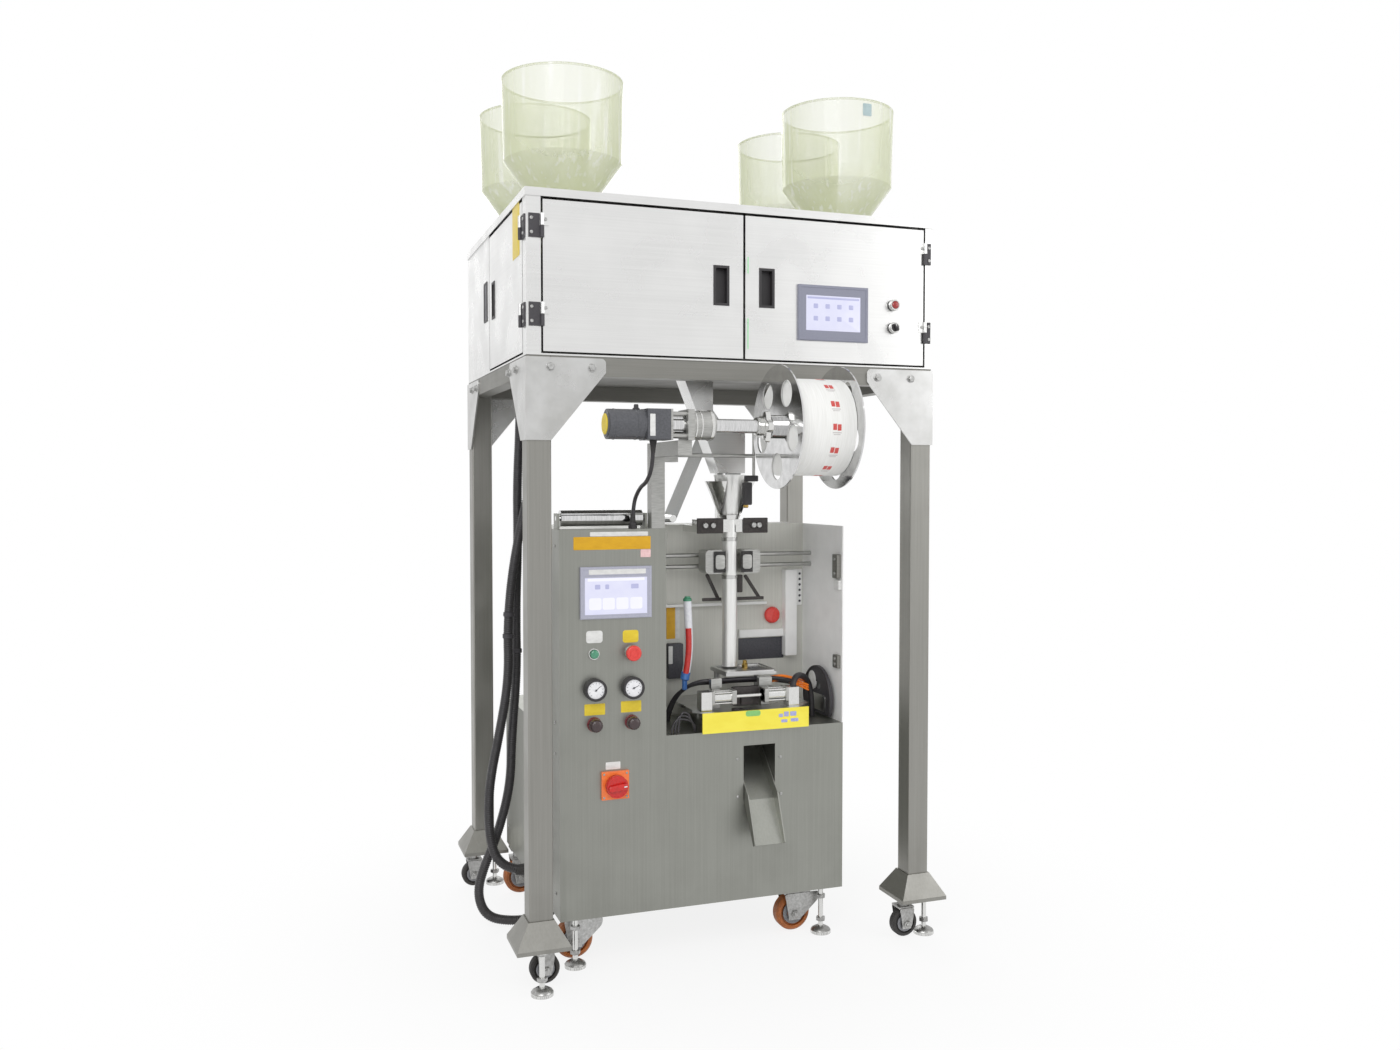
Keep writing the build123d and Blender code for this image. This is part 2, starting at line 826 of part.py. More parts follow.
# Chute from the cabinet to the forming tube
with BuildPart() as discharge_chute:
    chute_plane = upright_plane((0, tube_y, 0), (1, 0, 0))
    chute_top = shell_low + chute_collar
    chute_outline = [
        (chute_top_left, chute_top),
        (chute_top_right, chute_top),
        (chute_top_right, chute_bend),
        (chute_box_left, chute_box_top),
        (chute_box_right, chute_box_top),
        (chute_box_right, chute_bottom),
        (chute_bottom_left, chute_bottom),
        (chute_top_left, cabinet_bottom),
    ]
    with BuildSketch(chute_plane) as chute_sketch:
        with BuildLine():
            Polyline(*chute_outline, close=True)
        make_face()
    extrude(amount=chute_half, both=True)
    flange_x = (chute_top_left - chute_flange, chute_top_right + chute_flange)
    flange_y = (tube_y - chute_half - chute_flange, tube_y + chute_half + chute_flange)
    block(flange_x, flange_y, (shell_low, chute_top))
    with BuildSketch(chute_plane):
        with BuildLine():
            Polyline(*chute_outline, close=True)
        make_face()
        offset(amount=-chute_wall, mode=Mode.REPLACE)
    extrude(amount=chute_half - chute_wall, both=True, mode=Mode.SUBTRACT)
    inside_y = (tube_y - chute_half + chute_wall, tube_y + chute_half - chute_wall)
    mouth = (chute_top_left + chute_wall, chute_top_right - chute_wall)
    block(mouth, inside_y, (chute_top - 2 * chute_wall, chute_top + 1), mode=Mode.SUBTRACT)
    box_mouth = (chute_box_left + chute_wall, chute_box_right - chute_wall)
    block(box_mouth, inside_y, (chute_box_top - 2 * chute_wall, chute_box_top + 1), mode=Mode.SUBTRACT)
    outlet = (chute_bottom_left + 2 * chute_wall, chute_box_right - chute_wall)
    block(outlet, inside_y, (chute_bottom - 1, chute_bottom + 2 * chute_wall), mode=Mode.SUBTRACT)
write(discharge_chute, "discharge_chute")

# Lower machine: housings, with the outlet channel that runs from the table to the front
channel = [
    (machine_front - 1, outlet_low),
    (machine_front - 1, outlet_high),
    (machine_front, outlet_high),
    (machine_front + outlet_back, table_height + 1),
    (machine_front + outlet_run, table_height + 1),
    (machine_front, outlet_low),
]
with BuildPart() as base_housing:
    block((machine_left, machine_right), (machine_front, machine_back), (machine_bottom, table_height))
    with BuildSketch(Plane.YZ.offset(outlet_x)):
        with BuildLine():
            Polyline(*channel, close=True)
        make_face()
    extrude(amount=outlet_width, mode=Mode.SUBTRACT)
write(base_housing, "base_housing")

button_left_x = machine_left + button_left_inset
button_right_x = machine_left + button_right_inset
with BuildPart() as control_column:
    block((machine_left, recess_left), (machine_front, upper_back), (table_height, machine_top))
    pocket = press_pocket
    start_hole = start_button_radius + press_clearance
    stop_hole = stop_stem_radius + press_clearance
    rod((button_left_x, machine_front, button_height), (0, 1, 0), start_hole, pocket, mode=Mode.SUBTRACT)
    rod((button_right_x, machine_front, button_height), (0, 1, 0), stop_hole, pocket, mode=Mode.SUBTRACT)
write(control_column, "control_column")

with BuildPart() as rear_housing:
    block((recess_left, machine_right), (recess_back, upper_back), (table_height, machine_top))
write(rear_housing, "rear_housing")

with BuildPart() as side_wing:
    block((machine_right - wing_sheet, machine_right), (machine_front, recess_back), (table_height, machine_top))
write(side_wing, "side_wing")

# The slope of the outlet, as a unit step back and up
slope_length = math.hypot(outlet_run, table_height + 1 - outlet_low)
slope_back = outlet_run / slope_length
slope_up = (table_height + 1 - outlet_low) / slope_length


def on_slope(distance, lift):
    """A point in the YZ plane, a distance up the outlet's floor and a lift above it."""
    y = machine_front + distance * slope_back - lift * slope_up
    z = outlet_low + distance * slope_up + lift * slope_back
    return (y, z)


# Past the machine's front the outlet drops more steeply to its lip. The bend's upper point lies on both upper faces.
lip_length = math.hypot(outlet_reach, outlet_lip_drop)
lip_out = outlet_reach / lip_length
lip_down = outlet_lip_drop / lip_length
outlet_lip = (machine_front - outlet_reach, outlet_low - outlet_lip_drop)
bend_share = 1 + slope_up * lip_down + slope_back * lip_out


def over_lip(lift):
    """The point over the lip at a height square to the outlet's outer run."""
    return (outlet_lip[0] - lift * lip_down, outlet_lip[1] + lift * lip_out)


def over_bend(lift):
    """The point over the bend at the same height square to both runs."""
    y = machine_front - lift * (slope_up + lip_down) / bend_share
    z = outlet_low + lift * (slope_back + lip_out) / bend_share
    return (y, z)


outlet_end = slope_length * outlet_floor_share
outlet_left = outlet_x + outlet_side_clearance
outlet_right = outlet_x + outlet_width - outlet_side_clearance
outlet_spans = [
    (outlet_left, outlet_right, outlet_sheet, outlet_sheet),
    (outlet_left, outlet_left + outlet_sheet, outlet_side_height, outlet_lip_side_height),
    (outlet_right - outlet_sheet, outlet_right, outlet_side_height, outlet_lip_side_height),
]
with BuildPart() as outlet_chute:
    for near_x, far_x, side_height, lip_height in outlet_spans:
        with BuildSketch(Plane.YZ.offset(near_x)):
            with BuildLine():
                Polyline(
                    outlet_lip,
                    on_slope(0, 0),
                    on_slope(outlet_end, 0),
                    on_slope(outlet_end, side_height),
                    over_bend(side_height),
                    over_lip(lip_height),
                    close=True,
                )
            make_face()
        extrude(amount=far_x - near_x)
write(outlet_chute, "outlet_chute")

# Controls on the column's front
panel_x = (machine_left + panel_screen_inset, machine_left + panel_screen_inset + panel_screen_width)
panel_z = (panel_screen_bottom, panel_screen_bottom + panel_screen_height)
with BuildPart() as panel_screen:
    block(panel_x, (machine_front - screen_proud, machine_front), panel_z)
    border = screen_glass_border
    glass = (panel_x[0] + border / 2, panel_x[1] - border / 2)
    glass_rows = (panel_z[0] + border / 2, panel_z[1] - border)
    recess = (machine_front - screen_proud - 1, machine_front - screen_proud + screen_glass_depth)
    block(glass, recess, glass_rows, mode=Mode.SUBTRACT)
write(panel_screen, "panel_screen")

with BuildPart() as start_button:
    button_start = (button_left_x, machine_front - start_button_proud, button_height)
    rod(button_start, (0, 1, 0), start_button_radius, start_button_length)
write(start_button, "start_button")

with BuildPart() as emergency_stop:
    face = machine_front - stop_standoff
    rod((button_right_x, face - stop_cap, button_height), (0, 1, 0), stop_radius, stop_cap)
    fillet(emergency_stop.edges().group_by(Axis.Y)[0], stop_edge_radius)
    rod((button_right_x, face, button_height), (0, 1, 0), stop_stem_radius, stop_stem)
write(emergency_stop, "emergency_stop")

with BuildPart() as pressure_gauges:
    for x in (button_left_x, button_right_x):
        rod((x, machine_front - gauge_proud, gauge_height), (0, 1, 0), gauge_radius, gauge_proud)
write(pressure_gauges, "pressure_gauges")

with BuildPart() as regulator_knobs:
    for x in (button_left_x, button_right_x):
        rod((x, machine_front - knob_base - knob_length, knob_height), (0, 1, 0), knob_radius, knob_length)
        rod((x, machine_front - knob_base, knob_height), (0, 1, 0), knob_base_radius, knob_base)
write(regulator_knobs, "regulator_knobs")

switch_x = machine_left + switch_inset
half_plate = switch_plate / 2
with BuildPart() as main_switch_plate:
    block(
        (switch_x - half_plate, switch_x + half_plate),
        (machine_front - switch_sheet, machine_front),
        (switch_height - half_plate, switch_height + half_plate),
    )
    stem_hole = switch_stem_radius + running_clearance
    hole_start = (switch_x, machine_front - switch_sheet - 1, switch_height)
    rod(hole_start, (0, 1, 0), stem_hole, switch_sheet + 2, mode=Mode.SUBTRACT)
write(main_switch_plate, "main_switch_plate")

with BuildPart() as main_switch_knob:
    knob_back = machine_front - switch_sheet - switch_gap
    knob_start = (switch_x, knob_back - switch_knob_depth, switch_height)
    rod(knob_start, (0, 1, 0), switch_knob_radius, switch_knob_depth)
    rod((switch_x, knob_back, switch_height), (0, 1, 0), switch_stem_radius, switch_gap + switch_sheet - switch_stem_end)
write(main_switch_knob, "main_switch_knob")

# Roller across the column's top
roller_y = machine_front + roller_setback
roller_z = machine_top + roller_height
bracket_edges = (machine_left + 3, recess_left - 42)
with BuildPart() as roller_brackets:
    for x in (bracket_edges[0], bracket_edges[1] - roller_bracket):
        top = (machine_top, roller_z + roller_radius * 0.6)
        block((x, x + roller_bracket), (roller_y - 20, roller_y + 20), top)
    start = (bracket_edges[0] - 1, roller_y, roller_z)
    pin_hole = roller_pin_radius + running_clearance
    rod(start, (1, 0, 0), pin_hole, bracket_edges[1] - bracket_edges[0] + 2, mode=Mode.SUBTRACT)
write(roller_brackets, "roller_brackets")

with BuildPart() as film_roller:
    body_start = bracket_edges[0] + roller_bracket + roller_end_gap
    body_end = bracket_edges[1] - roller_bracket - roller_end_gap
    rod((body_start, roller_y, roller_z), (1, 0, 0), roller_radius, body_end - body_start)
    pin_length = bracket_edges[1] - bracket_edges[0]
    rod((bracket_edges[0], roller_y, roller_z), (1, 0, 0), roller_pin_radius, pin_length)
write(film_roller, "film_roller")

# Reel, from the motor on the left to the flanges on the right
bearing_right = reel_left - shaft_reach
bearing_left = bearing_right - bearing_length
adapter_right = bearing_left
adapter_left = adapter_right - adapter_length - adapter_sheet
gearbox_left = adapter_left - gearbox_length
motor_left = gearbox_left - motor_length
stand_right = recess_left - stand_gap
stand_left = stand_right - stand_size
stand_y = (machine_front + stand_setback, machine_front + stand_setback + stand_size)
arm_top = reel_height - gearbox_size / 2
rod_y = (stand_y[0] + stand_y[1]) / 2
rod_z = arm_top - rod_drop

with BuildPart() as reel_stand:
    block((stand_left, stand_right), stand_y, (machine_top, arm_top))
    block((stand_left, stand_right), (reel_y - stand_size / 2, stand_y[0]), (arm_top - stand_size, arm_top))
    block((stand_right, stand_right + rod_block), stand_y, (rod_z - rod_block / 2, rod_z + rod_block / 2))
    rod((stand_right, rod_y, rod_z), (1, 0, 0), rod_radius, rod_reach)
    tip = (stand_right + rod_reach, rod_y, rod_z - sensor_rod_low)
    rod(tip, (0, 0, 1), sensor_rod_radius, sensor_rod_length)
write(reel_stand, "reel_stand")

half_box = gearbox_size / 2
with BuildPart() as gear_motor:
    block(
        (gearbox_left, adapter_left),
        (reel_y - half_box, reel_y + half_box),
        (reel_height - half_box, reel_height + half_box),
    )
    fillet(gear_motor.edges().filter_by(Axis.X), gearbox_corner_radius)
    rod((motor_left, reel_y, reel_height), (1, 0, 0), motor_radius, motor_length)
write(gear_motor, "gear_motor")

with BuildPart() as reel_bearing:
    block(
        (adapter_left, adapter_left + adapter_sheet),
        (reel_y - half_box, reel_y + half_box),
        (reel_height - half_box, reel_height + half_box),
    )
    for side in (-1, 1):
        for level in (-1, 1):
            corner_y = reel_y + side * adapter_rod_spread
            corner_z = reel_height + level * adapter_rod_spread
            start = (adapter_left, corner_y, corner_z)
            rod(start, (1, 0, 0), adapter_rod_radius, adapter_sheet + adapter_length)
    rod((bearing_left, reel_y, reel_height), (1, 0, 0), bearing_radius, bearing_length)
    block(
        (adapter_right, stand_right),
        (reel_y - half_box, reel_y + half_box),
        (arm_top, reel_height + half_box),
    )
    bore = shaft_radius + running_clearance
    rod((bearing_left - 1, reel_y, reel_height), (1, 0, 0), bore, bearing_length + 2, mode=Mode.SUBTRACT)
write(reel_bearing, "reel_bearing")

left_flange = (reel_left, reel_left + flange_sheet)
right_flange_start = left_flange[1] + roll_width + 2 * roll_clearance
reel_right = right_flange_start + flange_sheet
with BuildPart() as reel_spool:
    for start in (left_flange[0], right_flange_start):
        rod((start, reel_y, reel_height), (1, 0, 0), flange_radius, flange_sheet)
        with BuildSketch(Plane.YZ.offset(start)):
            with Locations((reel_y, reel_height)):
                with PolarLocations(flange_hole_circle, flange_hole_count, start_angle=90 + 180 / flange_hole_count):
                    Circle(flange_hole_radius)
        extrude(amount=flange_sheet, mode=Mode.SUBTRACT)
    coupling_start = adapter_left + adapter_sheet + coupling_gap
    rod((coupling_start, reel_y, reel_height), (1, 0, 0), shaft_radius, reel_right + shaft_end - coupling_start)
    coupling_length = adapter_right - coupling_start - coupling_gap
    rod((coupling_start, reel_y, reel_height), (1, 0, 0), coupling_radius, coupling_length)
    rod((reel_left - hub_length, reel_y, reel_height), (1, 0, 0), hub_radius, hub_length)
    rod((left_flange[1], reel_y, reel_height), (1, 0, 0), core_radius, right_flange_start - left_flange[1])
write(reel_spool, "reel_spool")

with BuildPart() as film_roll:
    start = (left_flange[1] + roll_clearance, reel_y, reel_height)
    rod(start, (1, 0, 0), roll_radius, roll_width)
    rod(start, (1, 0, 0), core_radius + core_clearance, roll_width, mode=Mode.SUBTRACT)
write(film_roll, "film_roll")

# Forming tube with its funnel
with BuildPart() as forming_tube:
    wall = tube_wall
    tube_outline = [
        (tube_radius - wall, tube_bottom),
        (tube_radius, tube_bottom),
        (tube_radius, funnel_bottom),
        (funnel_radius, funnel_top),
        (funnel_radius - wall, funnel_top),
        (tube_radius - wall, funnel_bottom),
    ]
    with BuildSketch(upright_plane((tube_x, tube_y, 0), (1, 0, 0))):
        with BuildLine():
            Polyline(*tube_outline, close=True)
        make_face()
    revolve(axis=Axis((tube_x, tube_y, 0), (0, 0, 1)))
write(forming_tube, "forming_tube")

collar_inner = tube_radius + collar_gap
with BuildPart() as forming_collar:
    collar_outline = [
        (collar_inner, holder_high),
        (collar_inner + collar_wall, holder_high),
        (collar_radius, collar_top),
        (collar_radius - collar_wall, collar_top),
    ]
    with BuildSketch(upright_plane((tube_x, tube_y, 0), (1, 0, 0))):
        with BuildLine():
            Polyline(*collar_outline, close=True)
        make_face()
    revolve(axis=Axis((tube_x, tube_y, 0), (0, 0, 1)))
    half_front = collar_front_width / 2
    front_cut = (tube_y - collar_radius - 1, tube_y)
    block((tube_x - half_front, tube_x + half_front), front_cut, (holder_high + collar_front_rise, collar_top + 1), mode=Mode.SUBTRACT)
    holder_x = (tube_x - holder_reach, tube_x + holder_reach)
    block(holder_x, (tube_y - holder_depth / 2, tube_y + holder_depth / 2), (holder_low, holder_high))
    for x in (holder_x[0], holder_x[1] - holder_arm):
        block((x, x + holder_arm), (tube_y + holder_depth / 2, recess_back), (holder_low, machine_top))
    rod((tube_x, tube_y, holder_low - 1), (0, 0, 1), tube_radius, holder_high - holder_low + 2, mode=Mode.SUBTRACT)
write(forming_collar, "forming_collar")

# Pullers on two rails between the column and the wing
puller_y = (tube_y - puller_depth / 2, tube_y + puller_depth / 2)
rail_y = tube_y + puller_rod_behind
rail_levels = (puller_low + 17, puller_high - 17)
with BuildPart() as film_pullers:
    for side in (-1, 1):
        inner = tube_x + side * (tube_radius + puller_gap)
        outer = inner + side * puller_width
        edges_x = sorted((inner, outer))
        block(edges_x, puller_y, (puller_low, puller_high))
    fillet(film_pullers.edges().filter_by(Axis.Y), puller_corner_radius)
    for side in (-1, 1):
        inner = tube_x + side * (tube_radius + puller_gap + 12)
        outer = inner + side * (puller_width - 24)
        block(sorted((inner, outer)), (puller_y[1] - 1, rail_y + 12), (puller_low + 4, puller_high - 4))
    for level in rail_levels:
        rail_length = machine_right - wing_sheet - recess_left
        rod((recess_left, rail_y, level), (1, 0, 0), puller_rod_radius, rail_length)
write(film_pullers, "film_pullers")

# Sealing table: an eight sided tray on posts, pillars and a top plate under the tube
tray_y = (machine_front - tray_front_overhang, recess_back)
tray_bottom = table_height + tray_rise
tray_top = tray_bottom + tray_sheet
top_plate_x = tube_x + top_plate_shift
top_plate_y = tube_y - top_plate_ahead
pillar_x = top_plate_half_width - pillar_inset
pillar_y = top_plate_half_depth - pillar_inset
with BuildPart() as sealing_table:
    block((tray_left, tray_right), tray_y, (tray_bottom, tray_top))
    chamfer(sealing_table.edges().filter_by(Axis.Z), tray_corner)
    block(
        (outlet_x - 1, outlet_x + outlet_width + 1),
        (machine_front + outlet_back, machine_front + outlet_run),
        (tray_bottom - 1, tray_top + 1),
        mode=Mode.SUBTRACT,
    )
    for post_x in (tray_left + tray_post_inset, tray_right - tray_post_inset):
        for post_y in (tray_y[0] + tray_post_inset, tray_y[1] - tray_post_inset):
            rod((post_x, post_y, table_height), (0, 0, 1), tray_post_radius, tray_rise)
    for side in (-1, 1):
        pillar = (top_plate_x + side * pillar_x, top_plate_y + pillar_y, tray_top)
        rod(pillar, (0, 0, 1), pillar_radius, top_plate_height - tray_top)
    block(
        (top_plate_x - top_plate_half_width, top_plate_x + top_plate_half_width),
        (top_plate_y - top_plate_half_depth, top_plate_y + top_plate_half_depth),
        (top_plate_height, top_plate_height + tray_sheet),
    )
    hole = tube_radius + 1
    rod((tube_x, tube_y, top_plate_height - 1), (0, 0, 1), hole, tray_sheet + 2, mode=Mode.SUBTRACT)
write(sealing_table, "sealing_table")

with BuildPart() as table_front_plate:
    plate_y = (tray_y[0] - front_plate_sheet, tray_y[0])
    plate_z = (table_height, table_height + front_plate_height)
    block((front_plate_left, front_plate_right), plate_y, plate_z)
write(table_front_plate, "table_front_plate")

jaw_y = tube_y - jaw_ahead
jaw_block_reach = jaw_radius + jaw_block_margin
with BuildPart() as jaw_cylinders:
    for side in (-1, 1):
        inner = tube_x + side * jaw_inner
        rod((inner, jaw_y, jaw_height), (side, 0, 0), jaw_radius, jaw_length)
        outer = inner + side * jaw_length
        block(
            sorted((outer, outer + side * jaw_block_length)),
            (jaw_y - jaw_block_reach, jaw_y + jaw_block_reach),
            (tray_top, jaw_height + jaw_block_reach),
        )
    rod((tube_x - jaw_inner, jaw_y, jaw_height), (1, 0, 0), jaw_rod_radius, 2 * jaw_inner)
write(jaw_cylinders, "jaw_cylinders")

with BuildPart() as jaw_guard:
    guard_y = machine_front + jaw_guard_behind_front
    guard_x = machine_right - wing_sheet - jaw_guard_standoff
    rod((guard_x - jaw_guard_sheet, guard_y, jaw_guard_height), (1, 0, 0), jaw_guard_radius, jaw_guard_sheet)
    block(
        (guard_x - jaw_guard_sheet - 1, guard_x + 1),
        (guard_y - jaw_guard_radius, guard_y + jaw_guard_radius),
        (jaw_guard_height - jaw_guard_radius, table_height + jaw_guard_floor_gap),
        mode=Mode.SUBTRACT,
    )
    rod((guard_x, guard_y, jaw_guard_height), (1, 0, 0), jaw_guard_stem_radius, jaw_guard_standoff)
    with BuildSketch(Plane.YZ.offset(guard_x - jaw_guard_sheet)):
        with Locations((guard_y, jaw_guard_height + jaw_guard_window_rise)):
            SlotOverall(jaw_guard_window, jaw_guard_window / 2)
    extrude(amount=jaw_guard_sheet, mode=Mode.SUBTRACT)
write(jaw_guard, "jaw_guard")

# Film web with its guide rollers. The web passes under the low roller and over the top ones.
web_offset = film_roller_radius + film_clearance + film_thickness / 2
web_rows = (film_row, film_row + film_width)
plate_rows = (web_rows[1] + film_side_gap, web_rows[1] + film_side_gap + film_plate)
film_run = film_top_left[0] - film_low[0]
film_rise = film_top_left[1] - film_low[1]
climb = math.atan2(film_rise, film_run) + math.asin(2 * web_offset / math.hypot(film_run, film_rise))
leave_x = film_low[0] + web_offset * math.sin(climb)
leave_z = film_low[1] - web_offset * math.cos(climb)
web_low = film_low[1] - web_offset
web_high = film_top_left[1] + web_offset
web_right = film_top_right[0] + web_offset
web_points = [
    (film_low[0] - film_tail, web_low),
    (leave_x + (web_low - leave_z) / math.tan(climb), web_low),
    (leave_x + (web_high - leave_z) / math.tan(climb), web_high),
    (web_right, web_high),
    (web_right, film_end),
]
with BuildPart() as film_web:
    with BuildSketch(upright_plane((0, web_rows[1], 0), (1, 0, 0))):
        with BuildLine():
            FilletPolyline(*web_points, radius=web_offset)
        trace(line_width=film_thickness)
    extrude(amount=film_width)
write(film_web, "film_web")

with BuildPart() as web_rollers:
    for x, z in (film_low, film_top_left, film_top_right):
        roller_start = (x, web_rows[0] - film_side_gap, z)
        rod(roller_start, (0, 1, 0), film_roller_radius, plate_rows[0] - roller_start[1])
    low_x, low_z = film_low
    edge = film_plate_edge
    block((low_x - edge, low_x + edge), plate_rows, (machine_top, low_z + edge))
    plate_top = film_top_right[1] + edge
    block((film_top_left[0] - edge, film_top_right[0] + edge), plate_rows, (plate_top - 2 * edge, plate_top))
    post_left = film_top_right[0] - film_post / 2
    block((post_left, post_left + film_post), (plate_rows[1], plate_rows[1] + film_post), (machine_top, plate_top))
write(web_rollers, "web_rollers")


def bend_radii(points):
    """The bend at each inner point, as large as the shorter run beside it allows."""
    radii = []
    for before, here, after in zip(points, points[1:], points[2:]):
        run_in = Vector(*here) - Vector(*before)
        run_out = Vector(*after) - Vector(*here)
        half_turn = math.radians(run_in.get_angle(run_out)) / 2
        radii.append(0.45 * min(run_in.length, run_out.length) / math.tan(half_turn))
    return radii


def hose(points, radius):
    """A round hose swept along straight runs that are joined by tangent arcs."""
    with BuildLine() as route:
        FilletPolyline(*points, radius=bend_radii(points))
    path = route.wires()[0]
    with BuildSketch(Plane(origin=path @ 0, z_dir=path % 0)) as section:
        Circle(radius)
    sweep(section.sketch, path=path)
    print("smallest bend", round(min(bend_radii(points)), 1), "length", round(path.length, 1))
    return math.pi * radius ** 2 * path.length


front_row = hose_row
back_row = hose_row + hose_row_gap
front_hose_points = [
    (-430, front_row, cabinet_bottom),
    (-430, front_row, 1440),
    (-438, front_row - 4, 1310),
    (-474, front_row - 8, 1185),
    (-508, front_row - 8, 1020),
    (-523, front_row - 4, 860),
    (-519, front_row, 710),
    (-545, front_row + 4, 560),
    (-571, front_row + 2, 440),
    (-579, front_row, 347),
    (-574, front_row - 4, 262),
    (-556, front_row - 4, 205),
    (-508, front_row - 4, 172),
    (machine_left, front_row - 4, 172),
]
back_hose_points = [
    (-478, back_row, cabinet_bottom),
    (-478, back_row, 1420),
    (-487, back_row + 3, 1250),
    (-485, back_row + 5, 1080),
    (-492, back_row + 5, 900),
    (-490, back_row + 3, 720),
    (-507, back_row, 536),
    (-511, back_row - 2, 404),
    (-547, back_row - 2, 270),
    (-587, back_row, 179),
    (-606, back_row + 2, 105),
    (-580, back_row + 4, 36),
    (-505, back_row + 4, 15),
    (-415, back_row + 2, 18),
    (-352, back_row, 60),
    (-352, back_row, machine_bottom),
]
motor_cable_points = [
    (-268, -426, reel_height - gearbox_size / 2),
    (-268, -426, 1296),
    (-267, -374, 1252),
    (-265, -303, 1238),
    (-264, -240, 1194),
    (-264, -240, machine_top),
]

with BuildPart() as front_hose:
    expected = hose(front_hose_points, hose_radius)
print("front hose volume over section by length", round(front_hose.part.volume / expected, 4))
write(front_hose, "front_hose")

with BuildPart() as back_hose:
    expected = hose(back_hose_points, hose_radius)
print("back hose volume over section by length", round(back_hose.part.volume / expected, 4))
write(back_hose, "back_hose")

with BuildPart() as motor_cable:
    expected = hose(motor_cable_points, motor_cable_radius)
print("motor cable volume over section by length", round(motor_cable.part.volume / expected, 4))
write(motor_cable, "motor_cable")

# Glands that hold the ends of the hoses and of the motor cable
gland_places = [
    (front_hose_points, 0, hose_radius),
    (front_hose_points, -1, hose_radius),
    (back_hose_points, 0, hose_radius),
    (back_hose_points, -1, hose_radius),
    (motor_cable_points, -1, motor_cable_radius),
]
with BuildPart() as hose_glands:
    for points, end, radius in gland_places:
        place = Vector(*points[end])
        inner = Vector(*points[1 if end == 0 else -2])
        direction = inner - place
        rod(place, direction, radius + gland_wall, gland_length)
        rod(place, direction, radius + gland_clearance, gland_length + 1, mode=Mode.SUBTRACT)
write(hose_glands, "hose_glands")
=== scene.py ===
import math
from itertools import product
from typing import NamedTuple

import bmesh
import bpy
import numpy as np
from bpy.props import FloatProperty, FloatVectorProperty, PointerProperty
from bpy.types import Operator, Panel, PropertyGroup
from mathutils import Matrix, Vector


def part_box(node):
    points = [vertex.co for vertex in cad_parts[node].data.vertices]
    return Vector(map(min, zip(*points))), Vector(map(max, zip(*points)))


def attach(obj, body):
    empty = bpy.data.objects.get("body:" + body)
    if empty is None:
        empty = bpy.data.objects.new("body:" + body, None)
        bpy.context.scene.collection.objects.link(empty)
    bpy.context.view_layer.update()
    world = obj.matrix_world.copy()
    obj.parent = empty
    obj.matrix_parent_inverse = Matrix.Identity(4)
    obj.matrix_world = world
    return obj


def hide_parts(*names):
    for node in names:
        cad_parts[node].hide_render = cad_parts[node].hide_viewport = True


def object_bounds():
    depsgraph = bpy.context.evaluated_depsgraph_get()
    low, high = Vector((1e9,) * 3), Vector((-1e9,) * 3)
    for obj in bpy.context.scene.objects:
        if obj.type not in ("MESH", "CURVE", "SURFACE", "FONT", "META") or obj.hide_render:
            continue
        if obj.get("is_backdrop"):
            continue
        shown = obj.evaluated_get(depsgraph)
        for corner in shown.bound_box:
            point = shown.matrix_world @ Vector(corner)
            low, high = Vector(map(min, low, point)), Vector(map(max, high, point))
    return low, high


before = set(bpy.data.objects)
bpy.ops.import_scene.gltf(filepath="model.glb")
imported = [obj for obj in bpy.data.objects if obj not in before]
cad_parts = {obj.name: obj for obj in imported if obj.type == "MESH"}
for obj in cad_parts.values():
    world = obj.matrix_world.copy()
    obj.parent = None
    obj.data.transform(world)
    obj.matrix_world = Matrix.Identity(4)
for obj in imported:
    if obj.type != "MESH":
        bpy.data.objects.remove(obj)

bl_info = {
    "name": "Tea bag packing machine",
    "version": (1, 0, 0),
    "blender": (4, 5, 0),
    "location": "View3D > Sidebar > Packing machine",
    "description": "Finishes, hoses, fasteners and fittings of a tea bag packing machine under its weighing platform",
    "category": "Object",
}

# Places are in millimetres in the machine's own frame: X to the right, Y to the back, Z up from the floor.
MM = 0.001
ROOT = "machine_frame"
AHEAD, BACK, UP, DOWN, LEFT, RIGHT = (0, -1, 0), (0, 1, 0), (0, 0, 1), (0, 0, -1), (-1, 0, 0), (1, 0, 0)

# The direction across and up each side of the machine, seen by someone who faces that side
SIDES = {"front": (RIGHT, UP), "back": (LEFT, UP), "left": (AHEAD, UP), "right": (BACK, UP), "top": (RIGHT, BACK)}


def corner_of(node, end):
    """The lowest (end 0) or highest (end 1) corner of a CAD node, in millimetres."""
    return np.array(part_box(node)[end]) / MM


def front_of(node):
    """Y of the front of a CAD node."""
    return corner_of(node, 0)[1]


CABINET_FRONT, CABINET_LEFT = front_of("cabinet_floor"), corner_of("cabinet_floor", 0)[0]
CABINET_RIGHT = corner_of("cabinet_floor", 1)[0]
PANEL_FRONT = front_of("control_column")
RECESS_BACK = front_of("rear_housing")
ROOF_TOP = corner_of("cabinet_roof", 1)[2]
REEL_Y, REEL_Z = (corner_of("film_roll", 0) + corner_of("film_roll", 1))[1:] / 2
WING_INSIDE = corner_of("side_wing", 0)[0]

# Heights of the door hinges, the gauges' and buttons' columns on the panel, and the middle of the main switch
HINGE_LEVELS = (1655, 1866)
PANEL_COLUMNS = (-369, -270)
GAUGE_LEVEL, BUTTON_LEVEL, REGULATOR_LEVEL = 728, 817, 638
SWITCH_X, SWITCH_Z = -315, 479

